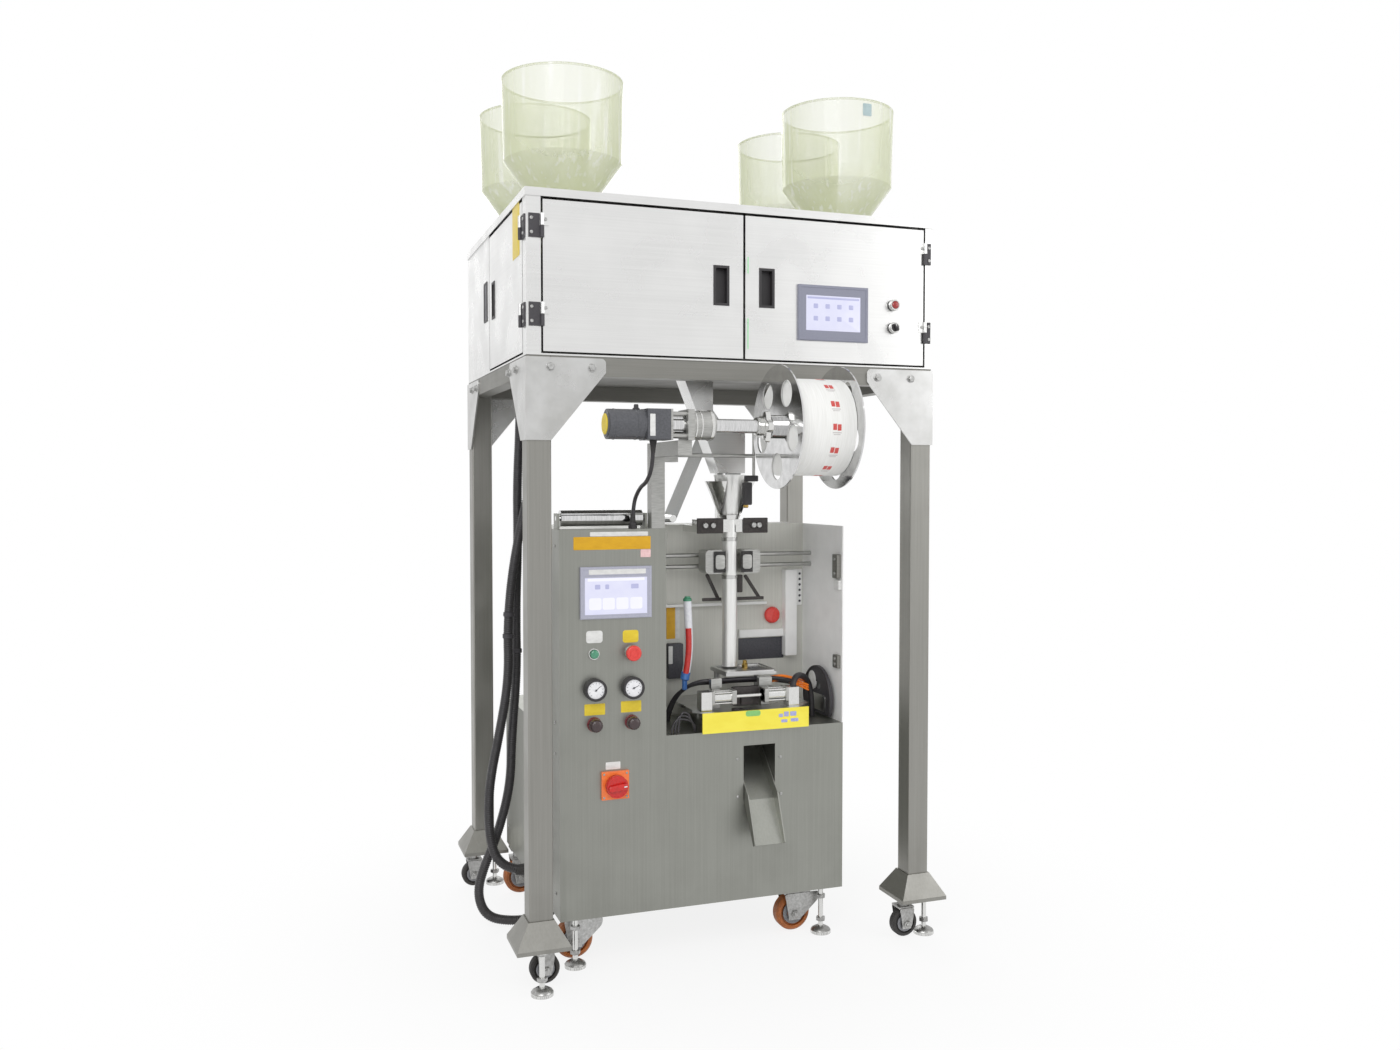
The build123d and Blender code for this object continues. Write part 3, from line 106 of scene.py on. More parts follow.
# Wheels: X, Y, radius, width and how far the tread is off the floor
WHEELS = [
    (-504, -265, 37.5, 26, 2.5), (495, -296, 37.5, 26, 2.5), (-553, 521, 37.5, 26, 2.5), (495, 521, 37.5, 26, 2.5),
    (-398, -132, 50, 34, 3), (224, -146, 50, 34, 3), (-430, 412, 50, 34, 3), (215, 430, 50, 34, 3),
]
FEET = [(-524, -332), (560, -296), (-488, 521), (560, 521), (-407, -194), (293, -194), (-407, 314), (293, 430)]

# The photograph's view: the camera's place in metres, its tilt and turn in degrees, its lens and sensor in mm
CAMERA_PLACE, CAMERA_TILT, CAMERA_TURN, LENS, SENSOR = (-1.1326, -3.1421, 1.2460), 88.04, -19.92, 30.43, 36

# Square softboxes: width in metres, then for each its name, place, the height it points at, and watts
SOFTBOX = 3.2
LAMPS = (
    ("key_softbox", (-2.6, -4.2, 4.2), 1.1, 112),
    ("fill_softbox", (3.8, -3.0, 2.6), 1.0, 42),
    ("rear_softbox", (0.5, 4.2, 3.6), 1.2, 55),
)

# Routes of the cords, from one end in the machine to the other. They are the control points of smooth lines.
FRONT_HOSE = [
    (-430, 104, 1555), (-430, 104, 1440), (-438, 100, 1310), (-474, 96, 1185), (-508, 96, 1020), (-523, 100, 860),
    (-519, 104, 710), (-545, 108, 560), (-571, 106, 440), (-579, 104, 347), (-574, 100, 262), (-556, 100, 205),
    (-508, 100, 172), (-458, 100, 172),
]
BACK_HOSE = [
    (-478, 134, 1555), (-478, 134, 1420), (-487, 137, 1250), (-485, 139, 1080), (-492, 139, 900), (-490, 137, 720),
    (-507, 134, 536), (-511, 132, 404), (-547, 132, 270), (-587, 134, 179), (-606, 136, 105), (-580, 138, 36),
    (-505, 138, 15), (-415, 136, 18), (-352, 134, 60), (-352, 134, 140),
]
MOTOR_CABLE = [
    (-268, -426, 1352), (-268, -426, 1296), (-267, -374, 1252), (-265, -303, 1238), (-264, -240, 1194),
    (-264, -240, 1133),
]


def linear(tone):
    """An sRGB hex colour as linear light: c / 12.92 for a channel c up to 0.04045, else
    ((c + 0.055) / 1.055) to the power of 2.4."""
    channel = np.array([int(tone[i : i + 2], 16) / 255 for i in (1, 3, 5)])
    light = np.where(channel <= 0.04045, channel / 12.92, ((channel + 0.055) / 1.055) ** 2.4)
    return tuple(float(v) for v in light)


def opaque(tone):
    return (*linear(tone), 1)


# ---------------------------------------------------------------- sizes and colours a user would change


def length(name, description, default):
    return FloatProperty(
        name=name, description=description, default=default * MM, min=0, subtype="DISTANCE", unit="LENGTH"
    )


def paint(name, description, default):
    return FloatVectorProperty(
        name=name, description=description, default=linear(default), min=0, max=1, subtype="COLOR"
    )


class PackerSizes(PropertyGroup):
    bolt_across: length("Bolt head", "Width across the corners of the platform's bolt heads", 17)
    bolt_height: length("Bolt head height", "How far the bolt heads stand out", 6.5)
    washer_radius: length("Washer radius", "Radius of the washers under the bolts", 11)
    screw_radius: length("Screw head radius", "Radius of the small socket screws", 4.2)
    hose_diameter: length("Hose diameter", "Outside diameter of the two corrugated hoses", 27)
    rib_pitch: length("Hose rib pitch", "Distance from rib to rib along a hose", 6)
    rib_depth: length("Hose rib depth", "Depth of the grooves between the ribs", 2)
    cable_diameter: length("Motor cable diameter", "Outside diameter of the reel motor's cable", 10)
    label_thickness: length("Label thickness", "Thickness of the plates and labels on the panel", 0.8)


class PackerColours(PropertyGroup):
    brushed_stainless_door: paint("Doors", "Brushed stainless steel of the cabinet's doors and walls", "#E0E0DF")
    brushed_stainless_panel: paint("Machine panels", "Brushed stainless steel of the lower machine", "#999A94")
    satin_stainless_tube: paint("Posts and beams", "Satin stainless steel of the platform", "#999893")
    tinted_acrylic_hopper: paint("Hoppers", "Clear tinted plastic of the four hoppers", "#E9EDD2")
    enamelled_yellow_plate: paint("Table plate", "Yellow enamel of the plate in front of the table", "#F8EA50")
    amber_vinyl_label: paint("Panel label", "Amber vinyl of the long label on the panel", "#E0AC14")
    moulded_orange_switch_plate: paint("Switch plate", "Orange plate of the main switch", "#FF8640")
    moulded_red_switch_knob: paint("Switch knob", "Red knob of the main switch", "#D4160F")
    sprayed_grey_motor: paint("Motor", "Sprayed grey enamel of the reel motor", "#5A5B60")
    cast_orange_tyre: paint("Machine wheels", "Orange polyurethane of the lower machine's wheels", "#C8702A")


# ---------------------------------------------------------------- surfaces from numpy grids


def skin(points, around=True, ends=True, ring=False):
    """Quads between neighbouring rows of a grid of points. Around joins the last column to the first, ring joins
    the last row to the first, and ends closes the first and last rows with one face each."""
    points = np.asarray(points, float)
    rows, columns = points.shape[:2]
    index = np.arange(rows * columns).reshape(rows, columns)
    here, beside = (index, np.roll(index, -1, axis=1)) if around else (index[:, :-1], index[:, 1:])
    if ring:
        here, beside = np.vstack((here, here[:1])), np.vstack((beside, beside[:1]))
    quads = np.stack((here[:-1], beside[:-1], beside[1:], here[1:]), axis=-1).reshape(-1, 4)
    caps = [index[0, ::-1], index[-1]] if ends and not ring else []
    return points.reshape(-1, 3), quads, caps


def outline(width, height, corner, inset, steps=5):
    """Rounded rectangles, anticlockwise, one for each inset: four quarter circles about the corners' centres, which
    move in once the inset has used up the corner's radius."""
    inset = np.atleast_1d(inset)[:, None, None]
    angle = np.radians(np.arange(4)[:, None] * 90 + np.linspace(0, 90, steps)).ravel()
    diagonal = np.radians(np.repeat(np.arange(4) * 90 + 45, steps))
    side, upper = np.sign(np.cos(diagonal)), np.sign(np.sin(diagonal))
    radius = np.maximum(corner - inset, 0.15)
    half = np.array((width, height)) / 2 - inset - radius
    return half * np.stack((side, upper), -1) + radius * np.stack((np.cos(angle), np.sin(angle)), -1)


def outward(side):
    """The direction that a side of the machine faces."""
    return np.cross(*np.array(SIDES[side], float))


def on_face(side, level, first, second):
    """A place on one face of the machine: the face's own level, and the two places along it in the order X, Y, Z."""
    place = [first, second]
    place.insert(int(np.argmax(np.abs(outward(side)))), level)
    return place


def lift(side, centre, flat, rise, turn=0.0):
    """Lays flat outlines on a side of the machine: turned in their own plane, then raised off it row by row."""
    across, upward = np.array(SIDES[side], float)
    c, s = math.cos(math.radians(turn)), math.sin(math.radians(turn))
    u, v = flat[..., :1] * c - flat[..., 1:] * s, flat[..., :1] * s + flat[..., 1:] * c
    rise = np.asarray(rise, float)[:, None, None]
    return np.asarray(centre, float) + u * across + v * upward + rise * outward(side)


def rolled_edge(depth, edge):
    """How far in from a plate's outline and how high above its back a quarter circle of radius e runs: e (1 - cos a)
    and depth - e + e sin a."""
    roll = np.linspace(0, math.pi / 2, 4)
    return edge * (1 - np.cos(roll)), depth - edge + edge * np.sin(roll)


def plate(side, centre, size, depth, corner=1.5, edge=0.3, turn=0.0):
    """A flat plate with a rounded outline whose front edge rolls in over a quarter circle."""
    inset, rise = (np.concatenate(([0], values)) for values in rolled_edge(depth, edge))
    return skin(lift(side, centre, outline(*size, corner, inset), rise, turn))


def plates(side, level, *rows):
    """Plates on one face of the machine. Each row has the two places along the face, width, height and depth, and
    then the plate's corner, edge and turn."""
    return [plate(side, on_face(side, level, *row[:2]), row[2:4], *row[4:]) for row in rows]


def cut_sheet(side, origin, points, depth, corner=5.0, edge=0.5, steps=5):
    """A sheet cut to a polygon. Each corner p is the quadratic arc (1-t)^2 a + 2t(1-t) p + t^2 b between the points
    a and b that lie a corner's length before and after it, and the outer edge is eased along its inward normal."""
    points = np.array(points, float)
    before, after = np.roll(points, 1, axis=0) - points, np.roll(points, -1, axis=0) - points
    start = points + before * np.minimum(corner / np.linalg.norm(before, axis=1), 0.45)[:, None]
    end = points + after * np.minimum(corner / np.linalg.norm(after, axis=1), 0.45)[:, None]
    t = np.linspace(0, 1, steps)[None, :, None]
    line = ((1 - t) ** 2 * start[:, None] + 2 * t * (1 - t) * points[:, None] + t**2 * end[:, None]).reshape(-1, 2)
    run = np.roll(line, -1, axis=0) - np.roll(line, 1, axis=0)
    inward = np.column_stack((-run[:, 1], run[:, 0])) / np.maximum(np.linalg.norm(run, axis=1), 1e-9)[:, None]
    turning = points[:, 0] @ np.roll(points[:, 1], -1) - np.roll(points[:, 0], -1) @ points[:, 1]
    flat = np.stack((line, line, line + inward * edge * np.sign(turning)))
    return skin(lift(side, origin, flat, (0, depth - edge, depth)))


def frame_of(side, centre, size, depth, width, corner=3.0, edge=0.6):
    """A flat rounded frame: the same rolled edge outside and inside of a rim of the given width."""
    outer, height = rolled_edge(depth, edge)
    inset = np.concatenate(([0], outer, width - outer[::-1], [width]))
    rise = np.concatenate(([0], height, height[::-1], [0]))
    return skin(lift(side, centre, outline(*size, corner, inset), rise), ring=True)


def turned(start, direction, profile, sides=32, lobes=0, swell=0.0, ring=False):
    """A profile of (distance along, radius) pairs turned about a line. Lobes raise and lower the radius with the
    cosine of the angle, as on a fluted knob."""
    along = np.array(direction, float) / np.linalg.norm(direction)
    first = np.cross(along, (0, 0, 1) if abs(along[2]) < 0.9 else (0, 1, 0))
    first /= np.linalg.norm(first)
    second = np.cross(along, first)
    profile = np.array(profile, float)
    angle = np.linspace(0, 2 * math.pi, sides, endpoint=False)
    radius = profile[:, 1:] * (1 + swell * np.cos(lobes * angle))
    spoke = np.cos(angle)[:, None] * first + np.sin(angle)[:, None] * second
    axis = np.array(start, float) + profile[:, :1] * along
    return skin(axis[:, None] + radius[..., None] * spoke, ring=ring)


def carried(path, radius, sides=12):
    """A circle carried along a path. Its plane is square to the path, and it is kept from twisting by the axis that
    the path runs along least."""
    path = np.asarray(path, float)
    run = np.gradient(path, axis=0)
    run /= np.linalg.norm(run, axis=1)[:, None]
    steady = np.eye(3)[np.argmin(np.abs(run).max(axis=0))]
    first = np.cross(steady, run)
    first /= np.linalg.norm(first, axis=1)[:, None]
    second = np.cross(run, first)
    angle = np.linspace(0, 2 * math.pi, sides, endpoint=False)
    spoke = np.cos(angle)[:, None] * first[:, None] + np.sin(angle)[:, None] * second[:, None]
    radius = np.broadcast_to(radius, len(path))
    return skin(path[:, None] + radius[:, None, None] * spoke)


def bend(points, steps=8):
    """A smooth line through space: quadratic arcs from middle to middle of the runs, one about each inner point."""
    points = np.array(points, float)
    middle = (points[1:] + points[:-1]) / 2
    middle[0], middle[-1] = points[0], points[-1]
    t = np.linspace(0, 1, steps, endpoint=False)[None, :, None]
    arc = (1 - t) ** 2 * middle[:-1, None] + 2 * t * (1 - t) * points[1:-1, None] + t**2 * middle[1:, None]
    return np.vstack((arc.reshape(-1, 3), points[-1:]))


def wrapped(x, angle, radius=121.05, depth=0.25, steps=6):
    """A patch wrapped on the film roll: X and the angle about the reel's axis run over their ranges on an inner and
    an outer skin. The angle starts at the front and turns upwards."""
    turn = np.radians(np.linspace(*angle, steps))
    ring = [(x[0], radius), (x[1], radius), (x[1], radius + depth), (x[0], radius + depth)]
    return skin([[(px, REEL_Y - r * math.cos(a), REEL_Z + r * math.sin(a)) for px, r in ring] for a in turn])


def make(name, finish, parts, body=ROOT, slot=None, crease=35):
    """Joins surfaces into one piece, gives it its finish, and lets it ride on a body. The slot that the finish
    belongs to is worked out, unless another is named, but it is not kept."""
    points, faces, start = [], [], 0
    for place, quads, caps in parts:
        points.append(place)
        faces += (quads + start).tolist() + [(cap + start).tolist() for cap in caps]
        start += len(place)
    mesh = bpy.data.meshes.new(name)
    mesh.from_pydata((np.concatenate(points) * MM).tolist(), [], faces)
    shell = bmesh.new()
    shell.from_mesh(mesh)
    bmesh.ops.recalc_face_normals(shell, faces=shell.faces)
    shell.to_mesh(mesh)
    shell.free()
    mesh.shade_smooth()
    mesh.set_sharp_from_angle(angle=math.radians(crease))
    mesh.validate()
    mesh.materials.append(material_of(finish))
    piece = bpy.data.objects.new(name, mesh)
    bpy.context.scene.collection.objects.link(piece)
    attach(piece, body)
    slot = next(key for key, finishes in SLOTS.items() if finish in finishes) if slot is None else slot
    return piece


# ---------------------------------------------------------------- finishes


class Finish(NamedTuple):
    """Two tones, the lowest and highest roughness, the pattern's size and its relief in mm, how metallic it is, how
    far the grain is drawn out along X, Y and Z, how much floor dirt it carries, clear coat and opacity."""

    first: str
    second: str
    smooth: float
    rough: float
    pattern: float
    relief: float = 0.02
    metallic: float = 0.0
    drawn: tuple = (1, 1, 1)
    dirt: float = 0.0
    coat: float = 0.0
    alpha: float = 1.0


FINISHES = {
    # 304 stainless square tube, belt polished along its length: a soft vertical grain that blurs reflections
    # sideways. The belt's lines are 0.2 mm apart, too fine to show, so they are drawn about 5 mm apart.
    "satin_stainless_tube": Finish("#999893", "#93928D", 0.36, 0.46, 5, 0.01, 1, (1, 1, 60), 0.2),
    # The same tube laid flat for the platform's beams, so the grain runs along the floor.
    "satin_stainless_beam": Finish("#8A8984", "#83827D", 0.42, 0.54, 5, 0.01, 0.7, (60, 60, 1)),
    # 304 sheet brushed with a coarse belt: doors look almost white, with faint level lines drawn about 4 mm apart.
    "brushed_stainless_door": Finish("#E0E0DF", "#DBDBDA", 0.24, 0.36, 4, 0.004, 1, (90, 90, 1)),
    # The lower machine's thicker sheet has upright brushing and a film of handling, so it is darker and duller.
    "brushed_stainless_panel": Finish("#999A94", "#94958F", 0.38, 0.5, 4, 0.006, 1, (1, 1, 70), 0.12),
    # The recess behind the tube gets the same sheet, made paler and less metallic as painted light, standing in for
    # the light that reaches into the shaded recess.
    "painted_light_stainless_wall": Finish("#D2D2CB", "#CBCBC4", 0.42, 0.55, 4, 0.006, 0.2, (1, 1, 70)),
    # The wing's sheet, pale and nearly matt as painted light: its colour is raised to stand in for the light that
    # reaches into the recess, so it stays pale from every side.
    "painted_light_pale_stainless_sheet": Finish("#F4F4F3", "#ECECEB", 0.4, 0.52, 60, 0.006, 0.05),
    # Underside of the cabinet: mill finish steel made dark and dull as painted shade, standing in for the shade under
    # the cabinet.
    "painted_shade_stainless_underside": Finish("#74736F", "#6C6B67", 0.5, 0.62, 50, 0.01, 0.5),
    # Laser cut and pressed sheet left as rolled: paler and smoother than the tube, with cloudy patches.
    "rolled_stainless_sheet": Finish("#CDCDCC", "#BCBCBA", 0.24, 0.36, 60, 0.02, 1, dirt=0.15),
    # Buffed stainless of the collar, rings and shaft: near mirror with faint turning marks.
    "buffed_stainless_tube": Finish("#E2E2E0", "#CFCFCD", 0.1, 0.2, 3, 0.01, 1, (1, 1, 0.15)),
    # Bright zinc plate on pressed steel: pale grey with small cloudy crystals and dirt near the floor.
    "zinc_plated_steel": Finish("#C4C4C3", "#A3A3A1", 0.28, 0.45, 7, 0.05, 1, dirt=0.4),
    # The forming tube is satin ground, so it shades softly from a pale front to grey sides.
    "satin_ground_tube": Finish("#ECECEA", "#E2E2E0", 0.3, 0.4, 3, 0.004, 0.7, (1, 1, 40)),
    # Hard chrome on ground steel: dark and light bands of reflection, hardly any grain.
    "chromed_ground_roller": Finish("#DADADA", "#C8C8C8", 0.06, 0.14, 25, 0.005, 1, (0.1, 1, 1)),
    # Milled aluminium blocks and rails: matt silver with short cutter marks.
    "milled_aluminium": Finish("#B9B9B6", "#A5A5A2", 0.34, 0.48, 2.5, 0.03, 1, (8, 1, 1)),
    # Hinges in black epoxy powder: fine orange peel, greyer where hands rub.
    "powder_coated_black_hinge": Finish("#38363A", "#454347", 0.42, 0.6, 3, 0.08),
    # Moulded black ABS of pulls and caps: even spark texture, softly shiny.
    "moulded_black_abs": Finish("#2B292B", "#343234", 0.4, 0.58, 2, 0.06),
    # Sprayed enamel on a die cast motor: mid grey, a little uneven where it pools.
    "sprayed_grey_motor": Finish("#5A5B60", "#4C4D51", 0.34, 0.5, 5, 0.1, 0.15, coat=0.2),
    # Wheel centres in grey stoving enamel, dulled by the floor.
    "sprayed_grey_hub": Finish("#8F9094", "#7F8084", 0.4, 0.55, 6, 0.05, 0.2, dirt=0.25),
    # Frosted backlit bezel of the panel's screen, lighter than the door's.
    "frosted_grey_bezel": Finish("#B4B5C4", "#A9AABA", 0.36, 0.5, 2),
    # Moulded bezel round the door's screen: cool grey polycarbonate with a fine texture.
    "moulded_grey_bezel": Finish("#8E90A0", "#858796", 0.36, 0.5, 2, 0.04),
    # Black rubber tread: matt, dusty, with moulding grain.
    "vulcanised_rubber_tyre": Finish("#2A292A", "#3B3938", 0.62, 0.82, 4, 0.15, dirt=0.5),
    # Cast polyurethane tread: warm orange, waxy, scuffed darker.
    "cast_orange_tyre": Finish("#C8702A", "#A65A22", 0.38, 0.6, 9, 0.12, dirt=0.35, coat=0.1),
    # Enamelled steel and vinyl labels: flat colour with slight fading along the way they are wiped.
    "enamelled_yellow_plate": Finish("#F8EA50", "#F2E142", 0.28, 0.42, 30, drawn=(2, 1, 1), coat=0.25),
    "amber_vinyl_label": Finish("#E0AC14", "#D6A10F", 0.35, 0.48, 14, drawn=(2, 1, 1)),
    "yellow_vinyl_label": Finish("#E6CC34", "#DDC22C", 0.35, 0.48, 10, drawn=(2, 1, 1)),
    "white_vinyl_label": Finish("#E6E6E4", "#D6D6D4", 0.35, 0.5, 10, drawn=(2, 1, 1)),
    "pink_vinyl_label": Finish("#F3CFCF", "#E6BDBD", 0.35, 0.5, 8),
    "green_vinyl_label": Finish("#8CCB7A", "#7DBB6C", 0.35, 0.5, 8),
    "grey_vinyl_label": Finish("#B3C6C8", "#A6BABC", 0.35, 0.5, 8),
    # Torn protective film along the door's edge: thin green polythene.
    "green_film_scrap": Finish("#A4E3AE", "#8FD79C", 0.25, 0.4, 6, 0.03, drawn=(1, 1, 3)),
    # Printing ink, too thin to stand off what it is on: matt, a little patchy.
    "blue_print": Finish("#8E93D0", "#B9BCDF", 0.4, 0.5, 3, 0),
    # The dark ink is also laid in the wall's openings and slots as painted shade.
    "dark_print_and_painted_shade": Finish("#3C3C42", "#4A4A50", 0.4, 0.5, 5, 0),
    "red_print": Finish("#C8403C", "#D4615C", 0.45, 0.55, 4, 0),
    "grey_print": Finish("#C9C4C4", "#BDB6B6", 0.45, 0.55, 4, 0),
    # Switch and buttons in gloss ABS: deep colour, small highlights.
    "moulded_orange_switch_plate": Finish("#FF8640", "#F57A34", 0.25, 0.38, 6, coat=0.3),
    "moulded_red_switch_knob": Finish("#D4160F", "#C0120C", 0.2, 0.34, 6, 0.03, coat=0.4),
    "moulded_red_stop_cap": Finish("#E8453E", "#DB3A34", 0.24, 0.38, 6, 0.03, coat=0.3),
    "moulded_green_lens": Finish("#4E9A78", "#3F8868", 0.14, 0.28, 5, coat=0.6),
    "moulded_red_lens": Finish("#A8201C", "#8E1916", 0.14, 0.28, 5, coat=0.6),
    "moulded_maroon_collar": Finish("#7E2A34", "#6C222B", 0.3, 0.44, 5, 0.03, coat=0.2),
    "moulded_dark_knob": Finish("#332426", "#3E2C2E", 0.22, 0.36, 5, 0.03, coat=0.4),
    # Gauge dials printed white and lacquered.
    "printed_white_dial": Finish("#F2F2F4", "#E6E6EA", 0.3, 0.4, 12, 0, coat=0.5),
    # Filter paper wound tight: matt white, with faint edges of the turns.
    "wound_filter_paper": Finish("#F4F4F2", "#E9E9E6", 0.6, 0.75, 2, 0.05, drawn=(1, 30, 30)),
    # The same paper as a single web, slightly see-through.
    "filter_paper_web": Finish("#E4E5E3", "#D8D9D7", 0.5, 0.68, 5, 0.03, alpha=0.82),
    # Corrugated nylon conduit: black, half shiny on the ribs.
    "corrugated_black_nylon": Finish("#353336", "#2B292B", 0.34, 0.5, 12, 0.04, dirt=0.25),
    # Extruded sleeves of cables and tubes: smooth and even, with a soft shine along them.
    "extruded_black_pvc": Finish("#2C2A2C", "#38363A", 0.36, 0.5, 9, 0.03),
    "extruded_orange_pvc": Finish("#FF8A22", "#F57E1A", 0.3, 0.42, 6),
    "extruded_blue_tube": Finish("#4E7FC4", "#3F6FB4", 0.24, 0.36, 8, coat=0.2),
    "extruded_white_tube": Finish("#EDEEF2", "#DFE0E8", 0.24, 0.36, 8, coat=0.3),
    "dyed_red_core": Finish("#D2302A", "#BE2722", 0.24, 0.36, 8, coat=0.3),
    # Turned brass unions and sensor bodies: yellow metal with fine tool marks.
    "turned_brass": Finish("#B99B58", "#A58848", 0.22, 0.36, 2, 0.02, 1),
    # Blackened steel inside the machine: linkages, and mechanisms made dark as painted shade where they sit in
    # shadow.
    "blackened_steel_and_painted_shade": Finish("#3D3A3A", "#4A4644", 0.4, 0.58, 6, 0.06, 0.6),
}

# The record's slots, each with the finish of its CAD parts and then those of the fittings that take it too
SLOTS = {
    "satin_steel": ("satin_stainless_tube",),
    "bright_steel": ("buffed_stainless_tube", "satin_ground_tube", "rolled_stainless_sheet", "turned_brass"),
    "zinc_steel": ("zinc_plated_steel", "sprayed_grey_hub"),
    "black_rubber": ("vulcanised_rubber_tyre",),
    "orange_wheel": ("cast_orange_tyre",),
    "brushed_sheet": ("brushed_stainless_door", "painted_light_pale_stainless_sheet"),
    "machine_sheet": ("brushed_stainless_panel", "satin_stainless_beam", "blackened_steel_and_painted_shade"),
    "black_hinge": ("powder_coated_black_hinge",),
    "black_plastic": ("moulded_black_abs", "dark_print_and_painted_shade"),
    "dark_plastic": ("moulded_black_abs", "moulded_maroon_collar", "moulded_dark_knob"),
    "screen_bezel": (
        "moulded_grey_bezel", "frosted_grey_bezel", "lit_liquid_crystal_display", "lit_display_icon",
        "lit_display_button",
    ),
    "clear_hopper": ("tinted_acrylic_hopper",),
    "green_plastic": ("moulded_green_lens", "green_film_scrap", "extruded_blue_tube"),
    "red_plastic": ("moulded_red_stop_cap", "moulded_red_switch_knob", "moulded_red_lens", "dyed_red_core"),
    "gauge_body": ("moulded_black_abs",),
    "orange_plastic": ("moulded_orange_switch_plate", "extruded_orange_pvc"),
    "chrome_roller": ("chromed_ground_roller",),
    "aluminium_profile": ("milled_aluminium",),
    "motor_paint": ("sprayed_grey_motor",),
    "paper_roll": (
        "wound_filter_paper", "filter_paper_web", "printed_white_dial", "red_print", "grey_print",
        "extruded_white_tube",
    ),
    "yellow_plate": (
        "enamelled_yellow_plate", "amber_vinyl_label", "yellow_vinyl_label", "white_vinyl_label", "pink_vinyl_label",
        "green_vinyl_label", "grey_vinyl_label", "blue_print",
    ),
    "black_hose": ("corrugated_black_nylon", "extruded_black_pvc"),
}

# Nodes whose finish is not the first one of their slot
NODE_FINISHES = {
    "platform_beams": "satin_stainless_beam",
    "corner_gussets": "rolled_stainless_sheet",
    # The wing takes the pale sheet, whose colour is raised as painted light.
    "side_wing": "painted_light_pale_stainless_sheet",
    # The cabinet's underside takes a finish darkened as painted shade.
    "cabinet_floor": "painted_shade_stainless_underside",
    "forming_tube": "satin_ground_tube",
    "jaw_guard": "powder_coated_black_hinge",
    "panel_screen": "frosted_grey_bezel",
    "outlet_chute": "brushed_stainless_panel",
    "main_switch_knob": "moulded_red_switch_knob",
    "sealing_table": "rolled_stainless_sheet",
    # The recess wall takes a sheet whose colour is raised as painted light.
    "rear_housing": "painted_light_stainless_wall",
}

# Two tones of each part of a lit screen
DISPLAY_TONES = {
    "lit_liquid_crystal_display": ("#D4D5F2", "#E6E7F8"),
    "lit_display_icon": ("#B4B6DC", "#A2A5D2"),
    "lit_display_button": ("#FAFAFD", "#F0F0F8"),
}


def add_node(tree, kind, sockets=None, **settings):
    """Adds one node. Settings are its properties; sockets gives an input its value or the output that feeds it."""
    made = tree.nodes.new(kind)
    for key, value in settings.items():
        setattr(made, key, value)
    for key, value in (sockets or {}).items():
        if isinstance(value, bpy.types.NodeSocket):
            tree.links.new(value, made.inputs[key])
        else:
            made.inputs[key].default_value = value
    return made


def place_of(tree):
    return add_node(tree, "ShaderNodeTexCoord").outputs["Object"]


def stretched(tree, place, scale):
    return add_node(tree, "ShaderNodeMapping", {"Vector": place, "Scale": scale}).outputs["Vector"]


def noise(tree, place, scale=1.0, detail=3.0, roughness=0.5):
    sockets = {"Vector": place, "Scale": scale, "Detail": detail, "Roughness": roughness}
    return add_node(tree, "ShaderNodeTexNoise", sockets).outputs["Fac"]


def ranged(tree, value, low=0.0, high=1.0, first=0.0, last=1.0, **settings):
    """A value moved from the range low to high into the range first to last, and held at its ends."""
    sockets = {"Value": value, 1: low, 2: high, 3: first, 4: last}
    return add_node(tree, "ShaderNodeMapRange", sockets, **settings).outputs[0]


def joined(tree, operation, first, second):
    return add_node(tree, "ShaderNodeMath", {0: first, 1: second}, operation=operation).outputs[0]


def blend(tree, share, first, second):
    """The first colour where the share is 0 and the second where it is 1."""
    return add_node(tree, "ShaderNodeMix", {0: share, 6: first, 7: second}, data_type="RGBA").outputs[2]


def height_of(tree, place):
    return add_node(tree, "ShaderNodeSeparateXYZ", {0: place}).outputs["Z"]


def relieved(tree, height, distance, strength):
    sockets = {"Height": height, "Distance": distance, "Strength": strength}
    return add_node(tree, "ShaderNodeBump", sockets).outputs["Normal"]


def shade(tree, sockets):
    """The shader, fed by these sockets, and the output that it feeds."""
    shader = add_node(tree, "ShaderNodeBsdfPrincipled", sockets)
    add_node(tree, "ShaderNodeOutputMaterial", {"Surface": shader.outputs[0]})


def first_tone(name, tone):
    """The user's colour for a finish if there is one, otherwise the finish's own first tone."""
    chosen = getattr(bpy.context.scene.packer_colours, name, None)
    return opaque(tone) if chosen is None else (*chosen, 1)


def worked_surface(tree, name):
    """Two tones follow a noise drawn out along the grain, a wide noise moves the roughness between its ends as
    handling does, the grain raises the bump, and dirt darkens what is near the floor."""
    look = FINISHES[name]
    place = place_of(tree)
    grain_place = stretched(tree, place, [1000 / look.pattern / along for along in look.drawn])
    grain = noise(tree, grain_place, roughness=0.55)
    wide = noise(tree, place, 9.0)
    share = ranged(tree, grain, 0.32, 0.68)
    patch = ranged(tree, wide, 0.35, 0.65)
    colour = blend(tree, share, first_tone(name, look.first), opaque(look.second))
    if look.dirt:
        low = ranged(tree, height_of(tree, place), 0.0, 0.35, look.dirt, 0.0)
        colour = blend(tree, joined(tree, "MULTIPLY", low, patch), colour, opaque("#4E4A44"))
    sockets = {
        "Base Color": colour,
        "Metallic": float(look.metallic),
        "Roughness": ranged(tree, patch, first=look.smooth, last=look.rough),
        "Coat Weight": look.coat,
        "Alpha": look.alpha,
    }
    if look.relief:
        sockets["Normal"] = relieved(tree, grain, look.relief * MM, 0.6)
    shade(tree, sockets)


